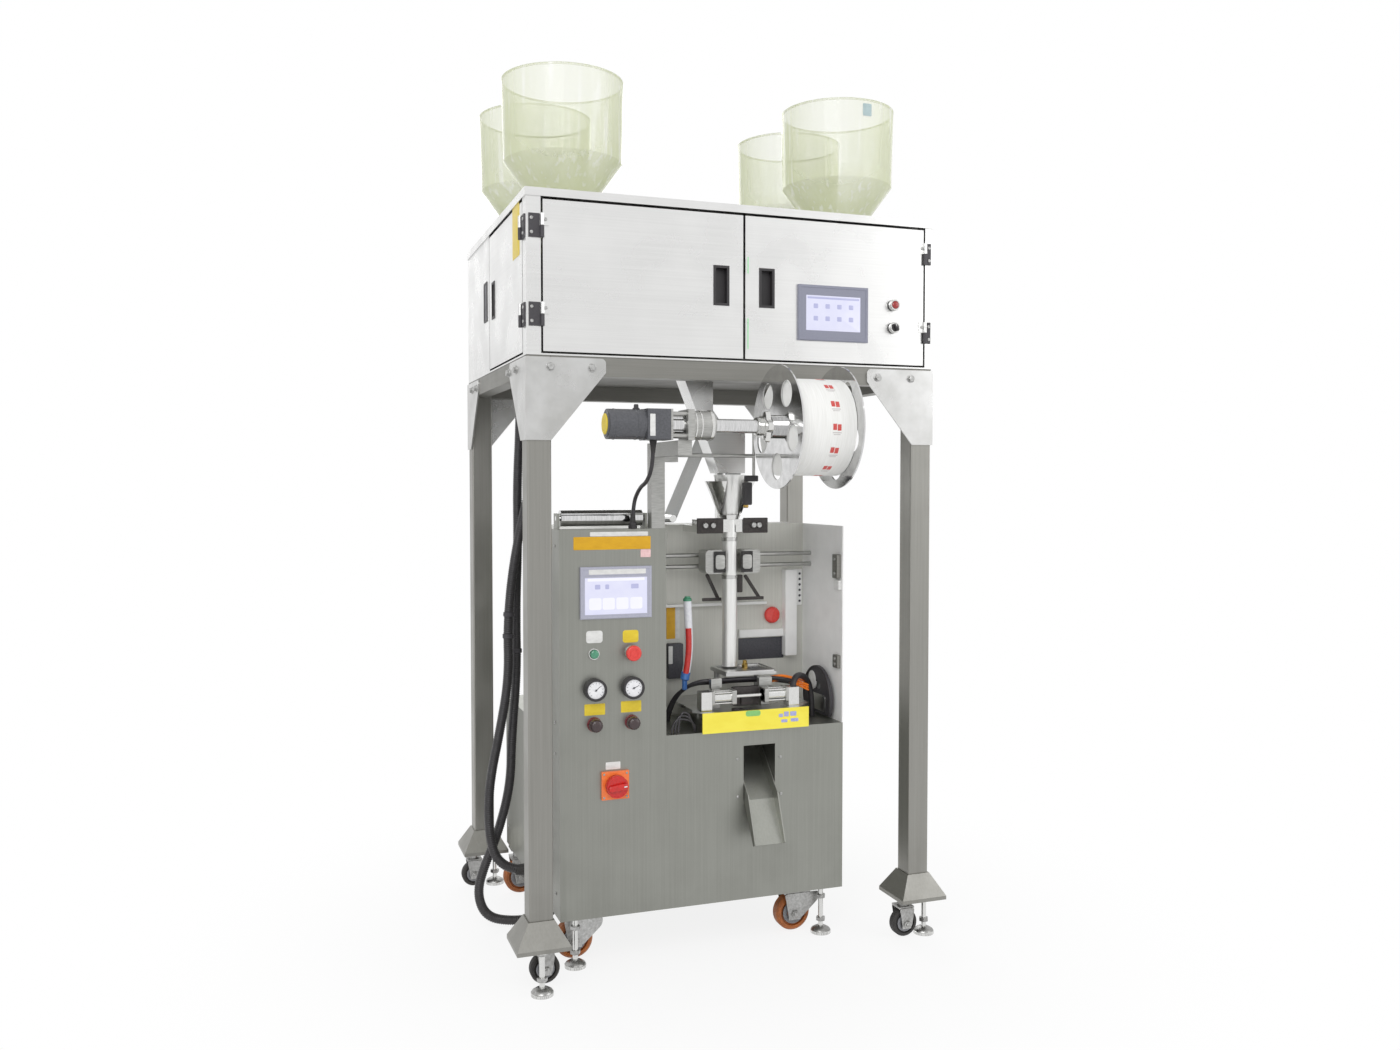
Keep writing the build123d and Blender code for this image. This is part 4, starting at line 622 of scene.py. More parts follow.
def tinted_acrylic(tree, name):
    """Vacuum formed clear acrylic, 3 mm thick: faint yellow green and glassy, with upright streaks whose strongest
    parts turn near white as a painted highlight. Seen edge on more of the wall is looked through, so the layer weight
    makes it denser there, and the lower cones are made denser still as painted shade of the walls seen one over
    another."""
    place = place_of(tree)
    streak = noise(tree, stretched(tree, place, (60, 60, 4)))
    tint = blend(tree, streak, first_tone(name, "#E9EDD2"), opaque("#CDD3A6"))
    # Painted highlight: where the streaks are strongest the colour goes to near white, as glints of light on the
    # wall.
    painted_glint = ranged(tree, streak, 0.56, 0.68, 0.0, 0.8)
    facing = add_node(tree, "ShaderNodeLayerWeight", {"Blend": 0.35}).outputs["Facing"]
    density = ranged(tree, facing, 0.0, 1.0, 0.14, 0.8)
    # Painted shade: below the cones' top edge the wall is made denser, for the darker look of walls seen one over
    # another.
    painted_layer_shade = ranged(tree, height_of(tree, place), 2.06, 2.13, 0.2, 0.0)
    shade(tree, {
        "Base Color": blend(tree, painted_glint, tint, opaque("#FBFCF6")),
        "Alpha": joined(tree, "ADD", density, painted_layer_shade),
        "Roughness": ranged(tree, streak, first=0.03, last=0.1),
        "Normal": relieved(tree, streak, 0.4 * MM, 0.4),
        "IOR": 1.49,
    })


def lit_display(tree, name):
    """A backlit liquid crystal display under glass: cool white light, a little uneven from its edge lamps."""
    cloud = noise(tree, place_of(tree), 30.0, 1.0)
    first, second = DISPLAY_TONES[name]
    shade(tree, {
        "Base Color": (0.12, 0.12, 0.14, 1),
        "Roughness": ranged(tree, cloud, first=0.08, last=0.2),
        "Emission Color": blend(tree, cloud, opaque(first), opaque(second)),
        "Emission Strength": 0.88,
    })


def material_of(name):
    """The material of that name, made when it is first asked for."""
    found = bpy.data.materials.get(name)
    if found:
        return found
    material = bpy.data.materials.new(name)
    material.use_nodes = True
    material.node_tree.nodes.clear()
    if name in DISPLAY_TONES:
        lit_display(material.node_tree, name)
    elif name in FINISHES:
        worked_surface(material.node_tree, name)
    else:
        tinted_acrylic(material.node_tree, name)
    return material


class PACKER_OT_finish_parts(Operator):
    """Steel, plastic, rubber and paper finishes on every part of the machine"""

    bl_idname = "packer.finish_parts"
    bl_label = "Part finishes"

    def execute(self, context):
        for name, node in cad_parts.items():
            own = [slot.material.name.split(".")[0] for slot in node.material_slots if slot.material]
            finish = NODE_FINISHES.get(name) or (SLOTS[own[0]][0] if own and own[0] in SLOTS else None)
            if finish is None:
                raise RuntimeError(f"{name} has no finish: its slots are {own}")
            if not node.material_slots:
                node.data.materials.append(None)
            for slot in node.material_slots:
                slot.material = material_of(finish)
        return {"FINISHED"}


# ---------------------------------------------------------------- stage


class PACKER_OT_stage(Operator):
    """A pale floor, soft studio light and a camera at the height of the table"""

    bl_idname = "packer.stage"
    bl_label = "Stage"

    def execute(self, context):
        scene = context.scene
        camera = bpy.data.objects.new("packer_camera", bpy.data.cameras.new("packer_camera"))
        scene.collection.objects.link(camera)
        camera.location = CAMERA_PLACE
        camera.rotation_euler = (math.radians(CAMERA_TILT), 0, math.radians(CAMERA_TURN))
        camera.data.lens = LENS
        camera.data.sensor_width = SENSOR
        camera.data.clip_end = 100
        scene.camera = camera
        scene.view_settings.view_transform = "Standard"

        reach = np.linspace(-20, 20, 3)
        ground = np.stack(np.meshgrid(reach, reach, indexing="xy"), -1)
        points, quads, _ = skin(np.dstack((ground, np.zeros((3, 3)))), around=False, ends=False)
        mesh = bpy.data.meshes.new("studio_floor")
        mesh.from_pydata(points.tolist(), [], quads.tolist())
        floor = bpy.data.objects.new("studio_floor", mesh)
        scene.collection.objects.link(floor)
        floor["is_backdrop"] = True
        mesh.materials.append(self.floor_paint())
        self.light_world(scene)
        for name, place, height, power in LAMPS:
            self.add_lamp(name, place, (0, 0, height), power)
        return {"FINISHED"}

    def seen_straight(self, tree):
        """1 for what the camera sees itself, in metal or through glass, 0 for what only lights the object."""
        path = add_node(tree, "ShaderNodeLightPath").outputs
        direct = joined(tree, "MAXIMUM", path["Is Camera Ray"], path["Is Glossy Ray"])
        return joined(tree, "MAXIMUM", direct, path["Is Transmission Ray"])

    def floor_paint(self):
        """White studio floor: matt paint that keeps the machine's shadow, fading to plain white round it."""
        material = bpy.data.materials.new("white_studio_floor")
        material.use_nodes = True
        tree = material.node_tree
        tree.nodes.clear()
        far = add_node(tree, "ShaderNodeVectorMath", {0: place_of(tree)}, operation="LENGTH").outputs["Value"]
        fade = ranged(tree, far, 0.3, 1.6, 0.84, 1.0, interpolation_type="SMOOTHSTEP")
        share = joined(tree, "MULTIPLY", fade, self.seen_straight(tree))
        matt = add_node(tree, "ShaderNodeBsdfDiffuse", {"Color": (0.86, 0.86, 0.86, 1)})
        white = add_node(tree, "ShaderNodeEmission", {"Color": (1, 1, 1, 1), "Strength": 1.0})
        mixed = add_node(tree, "ShaderNodeMixShader", {0: share, 1: matt.outputs[0], 2: white.outputs[0]})
        add_node(tree, "ShaderNodeOutputMaterial", {"Surface": mixed.outputs[0]})
        return material

    def light_world(self, scene):
        """An even pale sky: 1 where it is seen or mirrored, and a lower level where it lights the object."""
        world = bpy.data.worlds.new("studio_surround")
        world.use_nodes = True
        scene.world = world
        tree = world.node_tree
        tree.nodes.clear()
        level = ranged(tree, self.seen_straight(tree), first=0.68, last=1.0)
        sky = add_node(tree, "ShaderNodeBackground", {"Color": (1, 1, 1, 1), "Strength": level})
        add_node(tree, "ShaderNodeOutputWorld", {"Surface": sky.outputs[0]})

    def add_lamp(self, name, place, target, power):
        """A square softbox turned to its target."""
        lamp = bpy.data.lights.new(name, "AREA")
        lamp.shape = "SQUARE"
        lamp.size = SOFTBOX
        lamp.energy = power
        holder = bpy.data.objects.new(name, lamp)
        bpy.context.scene.collection.objects.link(holder)
        holder.location = place
        way = np.array(target) - np.array(place)
        holder.rotation_euler = (math.atan2(math.hypot(way[0], way[1]), -way[2]), 0, math.atan2(-way[0], way[1]))


# ---------------------------------------------------------------- cords


def route_line(points, spacing):
    """Points at even steps along the NURBS line of degree two that has the route's points as its controls."""
    curve = bpy.data.curves.new("route", "CURVE")
    curve.dimensions = "3D"
    curve.resolution_u = 32
    spline = curve.splines.new("NURBS")
    spline.points.add(len(points) - 1)
    spline.points.foreach_set("co", np.column_stack((np.array(points) * MM, np.ones(len(points)))).ravel())
    spline.order_u = 3
    spline.use_endpoint_u = True
    holder = bpy.data.objects.new("route", curve)
    bpy.context.scene.collection.objects.link(holder)
    mesh = bpy.data.meshes.new_from_object(holder)
    line = np.empty(len(mesh.vertices) * 3, np.float32)
    mesh.vertices.foreach_get("co", line)
    line = line.reshape(-1, 3).astype(float) / MM
    bpy.data.meshes.remove(mesh)
    bpy.data.objects.remove(holder)
    bpy.data.curves.remove(curve)
    along = np.concatenate(([0], np.cumsum(np.linalg.norm(np.diff(line, axis=0), axis=1))))
    steps = np.linspace(0, along[-1], max(8, round(along[-1] / spacing)))
    return np.column_stack([np.interp(steps, along, line[:, axis]) for axis in range(3)]), steps


def hose(name, points, node, finish, sizes, ribbed=True, clamps=()):
    """A corrugated hose: a circle carried along the route, its radius falling and rising with the cosine of the way
    along. A plain cable has no ribs. Clamps are bands at shares of the length."""
    diameter = (sizes.hose_diameter if ribbed else sizes.cable_diameter) / MM
    pitch, depth = sizes.rib_pitch / MM, sizes.rib_depth / MM
    path, along = route_line(points, pitch / 4 if ribbed else 3)
    radius = np.full(len(path), diameter / 2)
    if ribbed:
        radius -= depth / 2 * (1 - np.cos(2 * math.pi * along / pitch))
    tube = make(name, finish, [carried(path, radius, 16)], slot="black_hose", crease=80)
    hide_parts(node)
    for share in clamps:
        middle = int(share * len(path))
        swell = diameter / 2 + np.array([0.2, 1.8, 1.8, 1.6, 1.6, 1.6, 1.8, 1.8, 0.2])
        band = carried(path[middle - 4 : middle + 5], swell, 24)
        make(f"{name}_clamp_{middle}", "powder_coated_black_hinge", [band], slot="")
    return path


def gland(path, radius):
    """A gland at the end of a cord: a six sided nut, a domed cap with flutes, and a soft taper down to the cord."""
    away = path[min(6, len(path) - 1)] - path[0]

    def along(profile, *shape):
        return turned(path[0], away, [(distance, radius + more) for distance, more in profile], *shape)

    nut = along([(0, 6.3), (1, 6.5), (7, 6.5), (8, 5.6)], 6)
    cap = along([(8, 4.6), (9, 5), (15, 5), (17.5, 3.4), (18, 1.2)], 32, 16, 0.012)
    relief = along([(17, 2.6), (22, 2.2), (34, 1.2), (46, 0.35)], 24)
    return [nut, cap], relief


class PACKER_OT_hoses(Operator):
    """Two corrugated hoses from the cabinet to the lower machine and the reel motor's cable, with their glands"""

    bl_idname = "packer.hoses"
    bl_label = "Hoses and cable"

    def execute(self, context):
        sizes = context.scene.packer_sizes
        front = hose("front_conduit", FRONT_HOSE, "front_hose", "corrugated_black_nylon", sizes, clamps=(0.46, 0.5))
        back = hose("back_conduit", BACK_HOSE, "back_hose", "corrugated_black_nylon", sizes, clamps=(0.42,))
        cable = hose("motor_lead", MOTOR_CABLE, "motor_cable", "extruded_black_pvc", sizes, ribbed=False)
        wide, thin = sizes.hose_diameter / MM / 2, sizes.cable_diameter / MM / 2
        metal, soft = [], []
        ends = ((front, wide), (front[::-1], wide), (back, wide), (back[::-1], wide), (cable[::-1], thin))
        for path, radius in ends:
            parts, relief = gland(path, radius)
            metal += parts
            soft.append(relief)
        sleeve = [(0, thin + 4), (3, thin + 4), (12, thin + 2), (30, thin + 0.3)]
        soft.append(turned(cable[0], cable[4] - cable[0], sleeve, 20))
        nuts = make("gland_nuts", "moulded_black_abs", metal, crease=30)
        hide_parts("hose_glands")
        make("strain_reliefs", "vulcanised_rubber_tyre", soft, slot="black_hose")
        return {"FINISHED"}


# ---------------------------------------------------------------- fasteners


def bolt(side, place, across, height, washer):
    """A hexagon head on a round washer. The head is a six sided profile that draws in at its top."""
    out = outward(side)
    ring = turned(place, out, [(0, washer), (1.4, washer), (1.7, washer - 0.4)], 28)
    taper = [(0, across / 2), (height - 1, across / 2), (height, across / 2 - 1.2)]
    return [ring, turned(np.array(place) + out * 1.5, out, taper, 6)]


def screw(side, place, radius):
    """A small domed screw with a sunk socket: one profile that rises over the dome and drops into the socket."""
    profile = [(0, 1), (0.4 * radius, 1), (0.62 * radius, 0.8), (0.66 * radius, 0.46), (0.3 * radius, 0.42)]
    return turned(place, outward(side), [(z, r * radius) for z, r in profile], 20)


class PACKER_OT_fasteners(Operator):
    """Bolts of the corner gussets, screws of the hinges and panels, nuts on the wheel axles"""

    bl_idname = "packer.fasteners"
    bl_label = "Fasteners"

    def execute(self, context):
        sizes = context.scene.packer_sizes
        head = [value / MM for value in (sizes.bolt_across, sizes.bolt_height, sizes.washer_radius)]
        small = sizes.screw_radius / MM
        low, high = corner_of("corner_gussets", 0), corner_of("corner_gussets", 1)
        level = high[2] - 23
        bolts = []
        for faces, spots in (
            ((("front", low[1]), ("back", high[1])), (-496, -393, 390, 490)),
            ((("left", low[0]), ("right", high[0])), (-218, -124, 383, 462)),
        ):
            for spot, (side, face) in product(spots, faces):
                bolts += bolt(side, on_face(side, face, spot, level), *head)
        make("gusset_bolts", "zinc_plated_steel", bolts, crease=25)
        self.hinge_screws(small)
        self.panel_screws(small)
        self.casters()
        self.feet()
        return {"FINISHED"}

    def hinge_screws(self, radius):
        """Two screws on each hinge's fixed leaf, and one on the tab of the door that the hinge carries."""
        sheet = 3
        hinges = {
            "front_left_door": ("front", -541, -507, CABINET_FRONT - sheet),
            "front_right_door": ("front", 544, 523, CABINET_FRONT - sheet),
            "left_side_door": ("left", -308, -273, CABINET_LEFT - sheet),
            "right_side_door": ("right", -308, -273, CABINET_RIGHT + sheet),
        }
        fixed = []
        for door, (side, leaf, tab, face) in hinges.items():
            spots = [on_face(side, face, leaf, z + rise) for z in HINGE_LEVELS for rise in (-17, 17)]
            fixed += [screw(side, spot, radius) for spot in spots]
            swinging = [screw(side, on_face(side, face, tab, z + 15), radius) for z in HINGE_LEVELS]
            make(f"{door}_hinge_screws", "zinc_plated_steel", swinging, door)
        make("hinge_leaf_screws", "zinc_plated_steel", fixed)

    def panel_screws(self, radius):
        """Screws beside the outlet and round the housings' sheets, face by face."""
        rear, upper_rear = corner_of("base_housing", 1)[1], corner_of("control_column", 1)[1]
        left, right = corner_of("base_housing", 0)[0], corner_of("base_housing", 1)[0]
        low, high, ends, middles = (200, 560), (640, 1090), (-430, -62, 305), (-200, 120, 440)
        faces = [("front", PANEL_FRONT, ((23, 518), (147, 515), (24, 417), (149, 415)))]
        for x in ends:
            faces += [("back", rear, ((x, 180), (x, 560))), ("back", upper_rear, ((x, 640), (x, 1100)))]
        for y in middles:
            faces += [("left", left, product((y,), low)), ("right", right, product((y,), low))]
        faces.append(("left", left, product((-200, 110), high)))
        screws = [screw(side, on_face(side, face, *spot), radius) for side, face, spots in faces for spot in spots]
        make("panel_screws", "zinc_plated_steel", screws)

    def casters(self):
        """Tapered cheeks outside each fork, a hub disc on both faces of each wheel, and a nut on each axle's end."""
        nuts, cheeks, discs = [], [], []
        for x, y, radius, width, rise in WHEELS:
            axle = rise + radius
            lean = 0.9 * radius if radius > 40 else 0
            taper = [
                (-0.6 * radius, axle + radius + 7),
                (0.6 * radius + lean, axle + radius + 7),
                (0.55 * radius + lean, axle + 0.7 * radius),
                (0.4 * radius, axle - 0.25 * radius),
                (-0.34 * radius, axle - 0.3 * radius),
            ]
            hub = [(-1, 0.62), (2, 0.62), (3.4, 0.56), (3.4, 0.4), (2, 0.34)]
            for side, way in (("front", -1), ("back", 1)):
                cheek = [(-way * px, pz) for px, pz in taper]
                cheeks.append(cut_sheet(side, (x, y + way * (width / 2 + 9), 0), cheek, 2.4, 9))
                start, out = (x, y + way * (width / 2 + 11), axle), (0, way, 0)
                nuts.append(turned(start, out, [(-1, 11), (5, 11), (6.5, 9.6)], 6))
                nuts.append(turned(start, out, [(5, 6), (9, 6), (10, 5)], 20))
                face = (x, y + way * (width / 2 - 2), axle)
                discs.append(turned(face, out, [(distance, share * radius) for distance, share in hub], 40))
        make("axle_nuts", "zinc_plated_steel", nuts, crease=25)
        make("fork_cheeks", "zinc_plated_steel", cheeks)
        make("wheel_hub_discs", "sprayed_grey_hub", discs)

    def feet(self):
        """Domed pads and lock nuts on the screwed feet."""
        dome = [(1, 28), (7, 28), (12, 25.5), (16, 19), (19, 13), (20, 8)]
        nut = [(0, 12.4), (1, 13.4), (9, 13.4), (10, 12.4)]
        make("foot_pad_domes", "zinc_plated_steel", [turned((x, y, 0), UP, dome, 36) for x, y in FEET])
        locks = [turned((x, y, z), UP, nut, 6) for x, y in FEET for z in (34, 98)]
        make("foot_lock_nuts", "zinc_plated_steel", locks, crease=25)


# ---------------------------------------------------------------- cabinet


class PACKER_OT_cabinet(Operator):
    """The screen's display, its buttons, the second pull, the bare label and the hoppers' rims"""

    bl_idname = "packer.cabinet"
    bl_label = "Cabinet details"

    def execute(self, context):
        thick = context.scene.packer_sizes.label_thickness / MM
        door = "front_right_door"
        face = front_of("door_screen")
        pane = plates("front", face + 1, (258, 1693, 157, 91, 0.4, 1, 0.1))
        make("door_display_pane", "lit_liquid_crystal_display", pane, door)
        icons = [(x, z, 13, 12, 0.3, 2, 0.1) for z in (1711, 1679) for x in (207, 241, 275, 309)]
        icons.append((258, 1732, 150, 5, 0.3, 1, 0.1))
        make("door_display_icons", "lit_display_icon", plates("front", face + 0.6, *icons), door)
        bead = frame_of("front", (258, face, 1693), (200, 142), 1.2, 6, 5, 0.8)
        make("door_screen_bead", "moulded_grey_bezel", [bead], door)
        self.door_buttons(door)

        # A second recessed pull on the fixed panel behind the left door
        rim = frame_of("left", (CABINET_LEFT, 237, 1761), (54, 112), 1.6, 6, 4, 0.8)
        make("left_panel_pull_rim", "moulded_black_abs", [rim])
        well = plates("left", CABINET_LEFT, (237, 1761, 44, 102, 0.3, 2, 0.1))
        make("left_panel_pull_well", "dark_print_and_painted_shade", well)
        tag = plates("left", CABINET_LEFT, (-206, 1872, 84, 128, thick, 3, 0.2))
        make("left_strip_label", "yellow_vinyl_label", tag, "left_side_door")

        edge, door_face, _ = corner_of(door, 0)
        scraps = [(edge + 3, z, 3, tall, 0.4, 1, 0.1) for z, tall in ((1803, 42), (1630, 78))]
        make("door_film_scraps", "green_film_scrap", plates("front", door_face, *scraps), door)
        hopper_front = -221.6
        tag = plates("front", hopper_front, (412, 2270, 26, 33, thick, 2, 0.2))
        make("hopper_label", "grey_vinyl_label", tag)
        self.hopper_rims()
        return {"FINISHED"}

    def door_buttons(self, door):
        """Chrome rings, the push button's lens, and the selector's knob with its white mark."""
        x, button_z, selector_z, tilt = 436, 1724, 1664, 25
        front = front_of("door_controls")
        rim = [(0, 14.6), (8, 14.6), (10, 13.6), (10, 10.8), (8, 10.4), (0, 10.4)]
        rings = [turned((x, front + 9, z), AHEAD, rim, 36, ring=True) for z in (button_z, selector_z)]
        make("door_control_rings", "buffed_stainless_tube", rings, door)
        lens = turned((x, front, button_z), AHEAD, [(-1, 10), (1.5, 10), (3.4, 8.4), (4.6, 5.4), (5, 1.5)], 28)
        make("door_button_lens", "moulded_red_lens", [lens], door)
        knob = turned((x, front, selector_z), AHEAD, [(-1, 10), (3, 10), (4, 9)], 28)
        grip = plate("front", (x, front - 3, selector_z), (8, 21), 8, 3.5, 1.5, tilt)
        make("door_selector_knob", "moulded_black_abs", [knob, grip], door)
        mark = plates("front", front - 11, (x - 2.5, selector_z + 5.5, 1.6, 8, 0.3, 0.6, 0.1, tilt))
        make("door_selector_mark", "white_vinyl_label", mark, door)

    def hopper_rims(self):
        """A round bead on each hopper's rim, and four bolts round each hopper's neck."""
        bead = [(2.6 * math.sin(a), 157.6 + 2.6 * math.cos(a)) for a in np.linspace(0, 2 * math.pi, 9)[:-1]]
        rims, bolts = [], []
        for x, y in product((-400, 400), (-61, 279)):
            rims.append(turned((x, y, 2297.2), UP, bead, 72, ring=True))
            for a in np.radians((45, 135, 225, 315)):
                spot = (x + 70 * math.cos(a), y + 70 * math.sin(a), ROOF_TOP + 4)
                bolts.append(turned(spot, UP, [(0, 5), (3.4, 5), (4.4, 4)], 6))
        make("hopper_rim_beads", "tinted_acrylic_hopper", rims, crease=80)
        make("hopper_flange_bolts", "zinc_plated_steel", bolts, crease=25)


# ---------------------------------------------------------------- control column

# Bare labels of the panel: name, colour, range in X, range in Z, and corner
PANEL_LABELS = (
    ("amber_panel_label", "amber", (-421, -218), (1081, 1114), 2),
    ("pale_panel_label", "white", (-378, -225), (1115, 1126), 2),
    ("pink_panel_label", "pink", (-245, -218), (1060, 1080), 2),
    ("start_name_label", "white", (-389, -346), (845, 876), 7),
    ("stop_name_label", "yellow", (-293, -251), (842, 874), 7),
    ("left_gauge_label", "yellow", (-394, -340), (661, 690), 2),
    ("right_gauge_label", "yellow", (-298, -244), (663, 692), 2),
    ("switch_name_label", "white", (-339, -300), (519, 538), 2),
)


class PACKER_OT_control_panel(Operator):
    """Bare labels, the display, gauge dials, regulator knobs, buttons and the main switch on the column"""

    bl_idname = "packer.control_panel"
    bl_label = "Control panel"

    def execute(self, context):
        thick = context.scene.packer_sizes.label_thickness / MM
        for name, colour, (left, right), (low, high), corner in PANEL_LABELS:
            row = ((left + right) / 2, (low + high) / 2, right - left, high - low, thick, corner, 0.2)
            make(name, f"{colour}_vinyl_label", plates("front", PANEL_FRONT, row))
        face = front_of("panel_screen")
        strip = plates("front", face, (-308, 1026, 150, 15, thick, 2, 0.2))
        make("screen_strip_label", "white_vinyl_label", strip)
        pane = plates("front", face + 1, (-311, 962, 164, 96, 0.4, 1, 0.1))
        make("panel_display_pane", "lit_liquid_crystal_display", pane)
        buttons = [(x, 944, 32, 30, 0.4, 5, 0.2) for x in (-366, -331, -295, -258)]
        buttons.append((-311, 1005, 150, 7, 0.3, 1, 0.1))
        make("panel_display_buttons", "lit_display_button", plates("front", face + 0.6, *buttons))
        icons = [(x, 987, wide, 12, 0.3, 2, 0.1) for x, wide in ((-360, 14), (-335, 10), (-262, 20))]
        make("panel_display_icons", "lit_display_icon", plates("front", face + 0.6, *icons))
        bead = frame_of("front", (-311, face, 972), (186, 130), 1.2, 6, 5, 0.8)
        make("panel_screen_bead", "frosted_grey_bezel", [bead])
        self.gauges()
        self.regulators()
        self.buttons()
        self.main_switch()
        return {"FINISHED"}

    def gauges(self):
        """Each gauge: a black ring, a white dial with ticks on a circle, a needle and its hub."""
        face = front_of("pressure_gauges")
        rim = [(-2, 28.6), (2.4, 28.4), (3.6, 27), (3.6, 23), (0.6, 21.8), (-1, 21.8)]
        rings, dials, marks = [], [], []
        for x, pointing in zip(PANEL_COLUMNS, (40, 25)):
            spot = (x, face, GAUGE_LEVEL)
            rings.append(turned(spot, AHEAD, rim, 48, ring=True))
            dials.append(turned(spot, AHEAD, [(-0.5, 22.2), (0.5, 22.2), (0.6, 22)], 48))
            for tick in np.arange(-135, 136, 27):
                a = math.radians(90 - tick)
                middle = (x + 17.5 * math.cos(a), face - 0.6, GAUGE_LEVEL + 17.5 * math.sin(a))
                marks.append(plate("front", middle, (0.9, 4), 0.2, 0.3, 0.05, -tick))
            a = math.radians(pointing)
            needle = (x + 5 * math.cos(a), face - 0.9, GAUGE_LEVEL + 5 * math.sin(a))
            marks.append(plate("front", needle, (20, 1.4), 0.4, 0.4, 0.1, pointing))
            marks.append(turned((x, face - 0.6, GAUGE_LEVEL), AHEAD, [(0, 2.4), (1.4, 2.4), (1.8, 1.8)], 20))
        make("gauge_rings", "moulded_black_abs", rings, slot="gauge_body")
        make("gauge_dials", "printed_white_dial", dials)
        make("gauge_marks", "dark_print_and_painted_shade", marks)

    def regulators(self):
        """Fluted knobs with domed caps on maroon collars. They stand for the plain knobs of the CAD."""
        collar = [(0, 18.6), (7, 18.6), (9.5, 17.4), (10, 14)]
        dome = [(9, 15), (11, 17), (26, 16.4), (30, 14.6), (32.6, 10.5), (33.8, 4)]
        spots = [(x, PANEL_FRONT, REGULATOR_LEVEL) for x in PANEL_COLUMNS]
        make("regulator_collars", "moulded_maroon_collar", [turned(spot, AHEAD, collar, 40) for spot in spots])
        fluted = [turned(spot, AHEAD, dome, 96, 16, 0.02) for spot in spots]
        knobs = make("regulator_fluted_knobs", "moulded_dark_knob", fluted, crease=50)
        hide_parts("regulator_knobs")

    def buttons(self):
        """Chrome bezels round both buttons, the start button's lens and a groove on the emergency stop's cap."""
        start_x, stop_x = PANEL_COLUMNS
        rims = {
            start_x: [(0, 15), (2.6, 15), (4, 14), (4, 12.2), (0, 12.2)],
            stop_x: [(0, 17), (5, 17), (7, 15.6), (7, 10.6), (0, 10.6)],
        }
        chrome = [turned((x, PANEL_FRONT, BUTTON_LEVEL), AHEAD, rim, 40, ring=True) for x, rim in rims.items()]
        make("button_bezels", "buffed_stainless_tube", chrome)
        dome = [(-0.5, 10.6), (1, 10.4), (2.4, 8.4), (3.2, 5), (3.5, 1.4)]
        lens = turned((start_x, front_of("start_button"), BUTTON_LEVEL), AHEAD, dome, 32)
        make("start_button_lens", "moulded_green_lens", [lens], "start_button")
        band = [(0.2, 11.4), (0.9, 11.2), (0.9, 9.4), (0.2, 9.2)]
        groove = turned((stop_x, front_of("emergency_stop"), BUTTON_LEVEL), AHEAD, band, 36, ring=True)
        make("stop_cap_ring", "moulded_red_stop_cap", [groove], "emergency_stop")

    def main_switch(self):
        """The switch plate's corner screws, and a raised grip across its knob with a white line."""
        face = front_of("main_switch_plate")
        corners = [(SWITCH_X + dx, face, SWITCH_Z + dz) for dx, dz in product((-30, 30), repeat=2)]
        make("switch_plate_screws", "zinc_plated_steel", [screw("front", spot, 3) for spot in corners])
        knob, tilt = "main_switch_knob", 8
        front = front_of(knob)
        flutes = [(0, 27.6), (2, 28.6), (15, 28.6), (18, 27), (18.6, 24), (16, 23)]
        rim = turned((SWITCH_X, front + 18, SWITCH_Z), AHEAD, flutes, 96, 12, 0.014)
        grip = plate("front", (SWITCH_X, front + 2, SWITCH_Z), (52, 17), 12, 8, 3.5, tilt)
        make("switch_knob_grip", "moulded_red_switch_knob", [rim, grip], knob, crease=50)
        mark = plate("front", (SWITCH_X + 18, front - 10, SWITCH_Z + 2.5), (9, 3.4), 0.4, 1.4, 0.1, tilt)
        make("switch_knob_mark", "white_vinyl_label", [mark], knob)


# ---------------------------------------------------------------- reel


def on_reel(x, profile, *shape, direction=RIGHT, dy=0, dz=0):
    """A profile turned about the reel's axis, or about a line beside it."""
    return turned((x, REEL_Y + dy, REEL_Z + dz), direction, profile, *shape)


